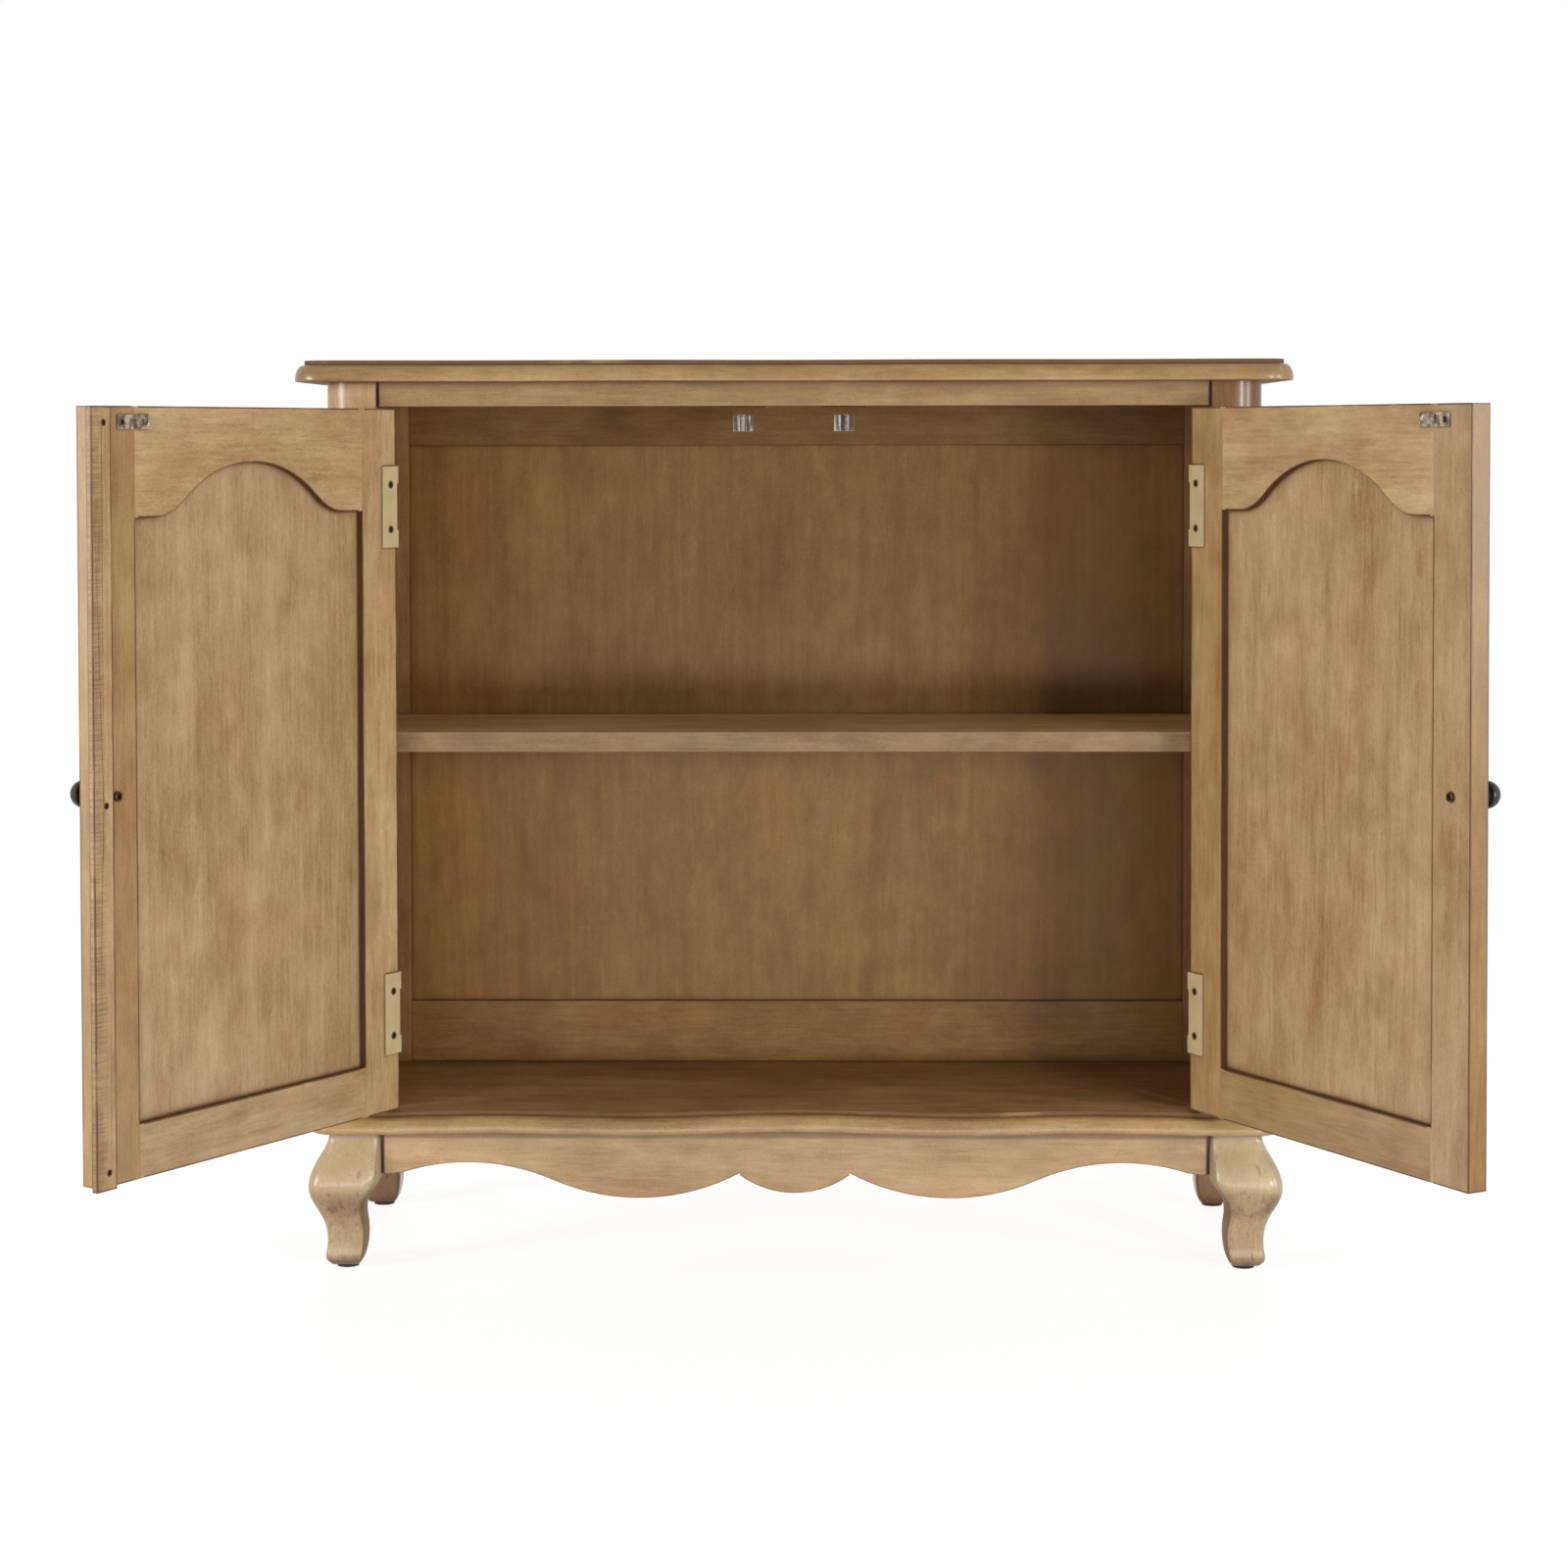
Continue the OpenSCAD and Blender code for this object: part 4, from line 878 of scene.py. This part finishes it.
# %% Finish the metal parts
for name, node in NODES.items():
    if name in BOARDS:
        continue
    slot_name = node.data.materials[0].name.split(".")[0] if node.data.materials else ""
    # Painted shade: the frame leaves take a darker copy of the brass.
    if "frame_leaves" in name:
        slot_name = "leaf_shade"
    if name.endswith("strike"):
        slot_name = "strike_steel"
    dress(node, METALS[slot_name])
print("metal parts", len(NODES) - len(BOARDS))

# %% [markdown]
# ## Moulded boards and feet
# The top and bottom boards wave in and out along the front, and a quirk and a round run along their
# edge. A foot swells to a knee, draws in to the ankle and turns out to a small toe. A cutter or a
# carver makes such a form by passing one outline through many sections, and a loft does the same: a
# stack of closed outlines, joined ring by ring. The frame holds these pieces with few facets. Here
# they are made again from the same sizes, with enough rings to look turned and sanded. The front
# posts need less: the round on their outer corner is only opened as wide as in the photo.

# %% Loft
def finished_mesh(name, points, faces, sharp_angle=32):
    mesh = bpy.data.meshes.new(name)
    mesh.from_pydata([tuple(p) for p in points], [], faces)
    shaped = bmesh.new()
    shaped.from_mesh(mesh)
    bmesh.ops.recalc_face_normals(shaped, faces=shaped.faces)
    shaped.to_mesh(mesh)
    shaped.free()
    mesh.shade_smooth()
    mesh.set_sharp_from_angle(angle=math.radians(sharp_angle))
    return mesh


def ring_faces(ring_size, ring_count):
    """Quads between the rings of a stack, and one face over each end."""
    faces = [list(range(ring_size)), [(ring_count - 1) * ring_size + i for i in range(ring_size)]]
    for k in range(ring_count - 1):
        for i in range(ring_size):
            j = (i + 1) % ring_size
            faces.append([k * ring_size + i, (k + 1) * ring_size + i, (k + 1) * ring_size + j,
                          k * ring_size + j])
    return faces


def stand_in(name, mesh, body, slot, material, *node_names):
    """A piece that takes the place of one or more nodes of the frame."""
    piece = bpy.data.objects.new(name, mesh)
    bpy.context.scene.collection.objects.link(piece)
    dress(piece, material)
    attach(piece, body)
    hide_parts(*node_names)
    return piece


# %% Waved boards
MID_DIP, SIDE_DIP = 16 * MM, 10 * MM
LOBE_SHARE, WAVE_END = 0.335, 0.92
CORNER_STEPS, WAVE_STEPS = 14, 200
ROUND_STEPS, EASE_STEPS = 12, 6
CORNER_RADII = {"top_board": 30 * MM, "bottom_board": 26 * MM}


def wave(x, half):
    """How far the front edge is set back at x on a board of that half width."""
    lobe, end, out = LOBE_SHARE * half, WAVE_END * half, abs(x)
    if out < lobe:
        return MID_DIP * (1 + math.cos(math.pi * out / lobe)) / 2
    if out < end:
        return SIDE_DIP * (1 - math.cos(2 * math.pi * (out - lobe) / (end - lobe))) / 2
    return 0.0


def board_ring(half, front, back, radius, drawn_in, height):
    """Outline of a waved board, drawn in by an even distance from its widest."""
    x, y, q = half - drawn_in, front + drawn_in, max(radius - drawn_in, MM)
    turns = [math.pi / 2 * j / CORNER_STEPS for j in range(CORNER_STEPS + 1)]
    ring = [(x, back, height), (-x, back, height)]
    ring += [(q - x - q * math.cos(a), y + q - q * math.sin(a), height) for a in turns]
    for i in range(1, WAVE_STEPS):
        s = (q - x) + 2 * (x - q) * i / WAVE_STEPS
        ring.append((s, y + wave(s, half), height))
    ring += [(x - q + q * math.cos(a), y + q - q * math.sin(a), height) for a in reversed(turns)]
    return ring


def edge_moulding(t):
    """Rows of distance drawn in and depth below the top: arris, quirk, round and lower edge."""
    fillet, inset, ease, belly, quirk, arris = 0.2 * t, 0.45 * t, 0.06 * t, 0.9 * t, 1.5 * MM, 0.5 * MM
    arc, start = inset - quirk, fillet + quirk / 3
    rows = [(inset + arris, 0.0), (inset + 0.3 * arris, 0.3 * arris), (inset, arris), (inset, fillet)]
    for j in range(ROUND_STEPS + 1):
        a = math.pi / 2 * j / ROUND_STEPS
        rows.append((arc - arc * math.sin(a), belly - (belly - start) * math.cos(a)))
    for j in range(1, EASE_STEPS + 1):
        a = math.pi / 2 * j / EASE_STEPS
        rows.append((ease - ease * math.cos(a), belly + (t - belly) * math.sin(a)))
    return rows


for name, radius in CORNER_RADII.items():
    low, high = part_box(name)
    rows = edge_moulding(high.z - low.z)
    rings = [board_ring(high.x, low.y, high.y, radius, d, high.z - depth) for d, depth in rows]
    mesh = finished_mesh("waved_" + name, [p for ring in rings for p in ring],
                         ring_faces(len(rings[0]), len(rings)))
    stand_in("waved_" + name, mesh, "carcass", "wood", WOODS[name], name)
    print(name, "half width", round(high.x, 4), "rings", len(rings))

# %% Rounded posts
POST_ROUND, PHOTO_ROUND = 18 * MM, 28 * MM
ON_ROUND = 0.1 * MM


def rounded_post(name):
    """The post again, with its narrow round on the outer corner opened to the wide one in the photo."""
    mesh = NODES[name].data.copy()
    low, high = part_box(name)
    left = low.x < 0
    corner_x = low.x if left else high.x
    to_middle = 1 if left else -1
    for vert in mesh.vertices:
        x, y = (vert.co.x - corner_x) * to_middle - POST_ROUND, vert.co.y - low.y - POST_ROUND
        if x > SAME_POINT or y > SAME_POINT or abs(math.hypot(x, y) - POST_ROUND) > ON_ROUND:
            continue
        angle = math.atan2(-y, -x)
        vert.co.x = corner_x + to_middle * PHOTO_ROUND * (1 - math.cos(angle))
        vert.co.y = low.y + PHOTO_ROUND * (1 - math.sin(angle))
    mesh.update()
    piece = stand_in("rounded_" + name, mesh, "carcass", "wood", WOODS[name], name)
    soften(piece, EASED_EDGE)
    print(name, "round", round(PHOTO_ROUND / MM), "mm")


for corner in ("front_left", "front_right"):
    rounded_post(corner + "_post")

# %% Feet
# Share of the height, how far the outer faces stand out from the post, and the width, in mm.
FOOT_ROWS = [
    (0.030, -1.5, 29), (0.055, 1.6, 31.2), (0.090, 2.8, 32.8), (0.150, 1.6, 34.3),
    (0.225, 1.3, 35), (0.300, 2.6, 34.6), (0.375, 6.4, 33.9), (0.450, 11.6, 34.6),
    (0.510, 15.6, 37), (0.575, 18, 43), (0.645, 17.6, 49.3), (0.715, 14.8, 50),
    (0.790, 9.6, 50), (0.860, 4, 50), (0.930, 0.4, 50), (1.000, 0, 50),
]
POST_WIDTH, FOOT_EDGE, FOOT_BELLY, BELLY_REACH = 50, 5, 9, 1.4
FOOT_LEVELS, FOOT_CORNER_STEPS = 72, 8


def eased(share, column):
    """Value of a column of the foot rows at a share of the height, on a smooth curve."""
    i = max((k for k in range(len(FOOT_ROWS) - 1) if FOOT_ROWS[k][0] <= share), default=0)
    a, b = FOOT_ROWS[max(i - 1, 0)], FOOT_ROWS[i]
    d, e = FOOT_ROWS[i + 1], FOOT_ROWS[min(i + 2, len(FOOT_ROWS) - 1)]
    span = d[0] - b[0]
    t = (share - b[0]) / span
    leave = 0.0 if i == 0 else (d[column] - a[column]) / (d[0] - a[0]) * span
    arrive = 0.0 if e is d else (e[column] - b[column]) / (e[0] - b[0]) * span
    return ((2 * t**3 - 3 * t**2 + 1) * b[column] + (t**3 - 2 * t**2 + t) * leave
            + (3 * t**2 - 2 * t**3) * d[column] + (t**3 - t**2) * arrive)


def rounded_ring(low_x, high_x, low_y, high_y, radius):
    """A rectangle with round corners, as a ring of points."""
    centres = [(high_x, high_y), (low_x, high_y), (low_x, low_y), (high_x, low_y)]
    ring = []
    for k, (cx, cy) in enumerate(centres):
        cx += -radius if cx == high_x else radius
        cy += -radius if cy == high_y else radius
        for j in range(FOOT_CORNER_STEPS + 1):
            a = math.pi / 2 * (k + j / FOOT_CORNER_STEPS)
            ring.append((cx + radius * math.cos(a), cy + radius * math.sin(a)))
    return ring


def foot(name, post_name):
    low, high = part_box(name)
    post_low, post_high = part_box(post_name)
    left, front = low.x < 0, "front" in name
    corner_x = post_low.x if left else post_high.x
    corner_y = post_low.y if front else post_high.y
    turn_x, turn_y = (1 if left else -1), (1 if front else -1)
    bottom = low.z / high.z
    points, count = [], 0
    for level in range(FOOT_LEVELS + 1):
        u = bottom + (1 - bottom) * level / FOOT_LEVELS
        row = max(u, FOOT_ROWS[0][0])
        out, wide = eased(row, 1), min(eased(row, 2), POST_WIDTH)
        radius = FOOT_EDGE + FOOT_BELLY * math.sin(math.pi * min(1, (1 - u) * BELLY_REACH))
        back_out = out if front else min(out, 0)
        ring = rounded_ring(-out, wide, -back_out, wide, radius)
        count = len(ring)
        points += [(corner_x + turn_x * x * MM, corner_y + turn_y * y * MM, u * high.z)
                   for x, y in ring]
    mesh = finished_mesh("carved_" + name, points, ring_faces(count, FOOT_LEVELS + 1), sharp_angle=50)
    stand_in("carved_" + name, mesh, "carcass", "wood", WOODS[name], name)


for corner in CORNERS:
    foot(corner + "_foot", corner + "_post")
print("feet from", FOOT_LEVELS + 1, "rings each")

# %% [markdown]
# ## Screws
# A screw of the frame is a plain pin with a head. Close up, one sees the cross that the driver turns
# it by, and a slight dome. The place, the direction and the sizes of each are read back from the
# node, so that the new head sits exactly where the old one did. The face is a round grid of points,
# and those that lie in the cross are pushed down.

# %% Screw heads
HEAD_RINGS, HEAD_STEPS, HEAD_MIDDLE = 11, 40, 0.4
DOME_SHARE, CROSS_DEPTH, CROSS_ARM, CROSS_WIDTH = 0.14, 0.42, 0.60, 0.13
CROSS_WALL, CROSS_END, TIP_SHARE = 0.07, 0.08, 0.02


def cross_depth(x, y):
    """1 inside the cross of the driver, 0 outside it, for a head of radius 1."""
    along, aside = max(abs(x), abs(y)), min(abs(x), abs(y))
    inside = 1 - min(max((aside - CROSS_WIDTH) / CROSS_WALL, 0), 1)
    return inside * (1 - min(max((along - CROSS_ARM) / CROSS_END, 0), 1))


def screw(group, axis, twist):
    """Points and faces of one screw whose head looks along the axis."""
    levels = sorted({round(p.dot(axis) / SAME_POINT) for p in group})
    top, under, tip = (levels[i] * SAME_POINT for i in (-1, -2, 0))

    def at(level):
        return [p for p in group if abs(p.dot(axis) - level) < SAME_LEVEL]

    rim = at(top)
    middle_point = sum(rim, Vector()) / len(rim)
    head = max((p - middle_point).length for p in rim)
    side = axis.orthogonal().normalized()
    side.rotate(Matrix.Rotation(twist, 3, axis))
    up = axis.cross(side)

    def reach_of(level):
        return max(((p - middle_point) - axis * (p - middle_point).dot(axis)).length
                   for p in at(level))

    shank = reach_of(tip)
    rows = [(TIP_SHARE * shank, tip), (shank, tip), (shank, under), (reach_of(under), under),
            (head, top)]
    rings = [[middle_point + (side * math.cos(a) + up * math.sin(a)) * r + axis * (z - top)
              for a in (2 * math.pi * k / HEAD_STEPS for k in range(HEAD_STEPS))] for r, z in rows]
    for k in range(1, HEAD_RINGS + 1):
        share = 1 - k / (HEAD_RINGS + HEAD_MIDDLE)
        ring = []
        for j in range(HEAD_STEPS):
            a = 2 * math.pi * j / HEAD_STEPS
            x, y = share * math.cos(a), share * math.sin(a)
            rise = DOME_SHARE * (1 - share * share) - CROSS_DEPTH * cross_depth(x, y)
            ring.append(middle_point + (side * x + up * y + axis * rise) * head)
        rings.append(ring)
    return [p for ring in rings for p in ring], ring_faces(HEAD_STEPS, len(rings))


def screws(name, axis_at):
    points, faces = [], []
    for number, group in enumerate(islands(NODES[name].data)):
        centre = sum(group, Vector()) / len(group)
        new_points, new_faces = screw(group, axis_at(centre), number * GOLDEN * math.pi)
        faces += [[i + len(points) for i in face] for face in new_faces]
        points += new_points
    mesh = finished_mesh("driven_" + name, points, faces, sharp_angle=40)
    stand_in("driven_" + name, mesh, body_of(name), "screw_steel", METALS["screw_steel"], name)
    print(name, number + 1)


for side in ("left", "right"):
    for part in ("leaf_screws", "strike_screws", "knob_screw"):
        screws(f"{side}_{part}", lambda centre, body=side + "_door": inward(body))
screws("cover_strip_screws", lambda centre: inward("left_door"))
screws("frame_leaf_screws", lambda centre: Vector((-math.copysign(1, centre.x), 0, 0)))
screws("catch_screws", lambda centre: Vector((0, 0, -1)))
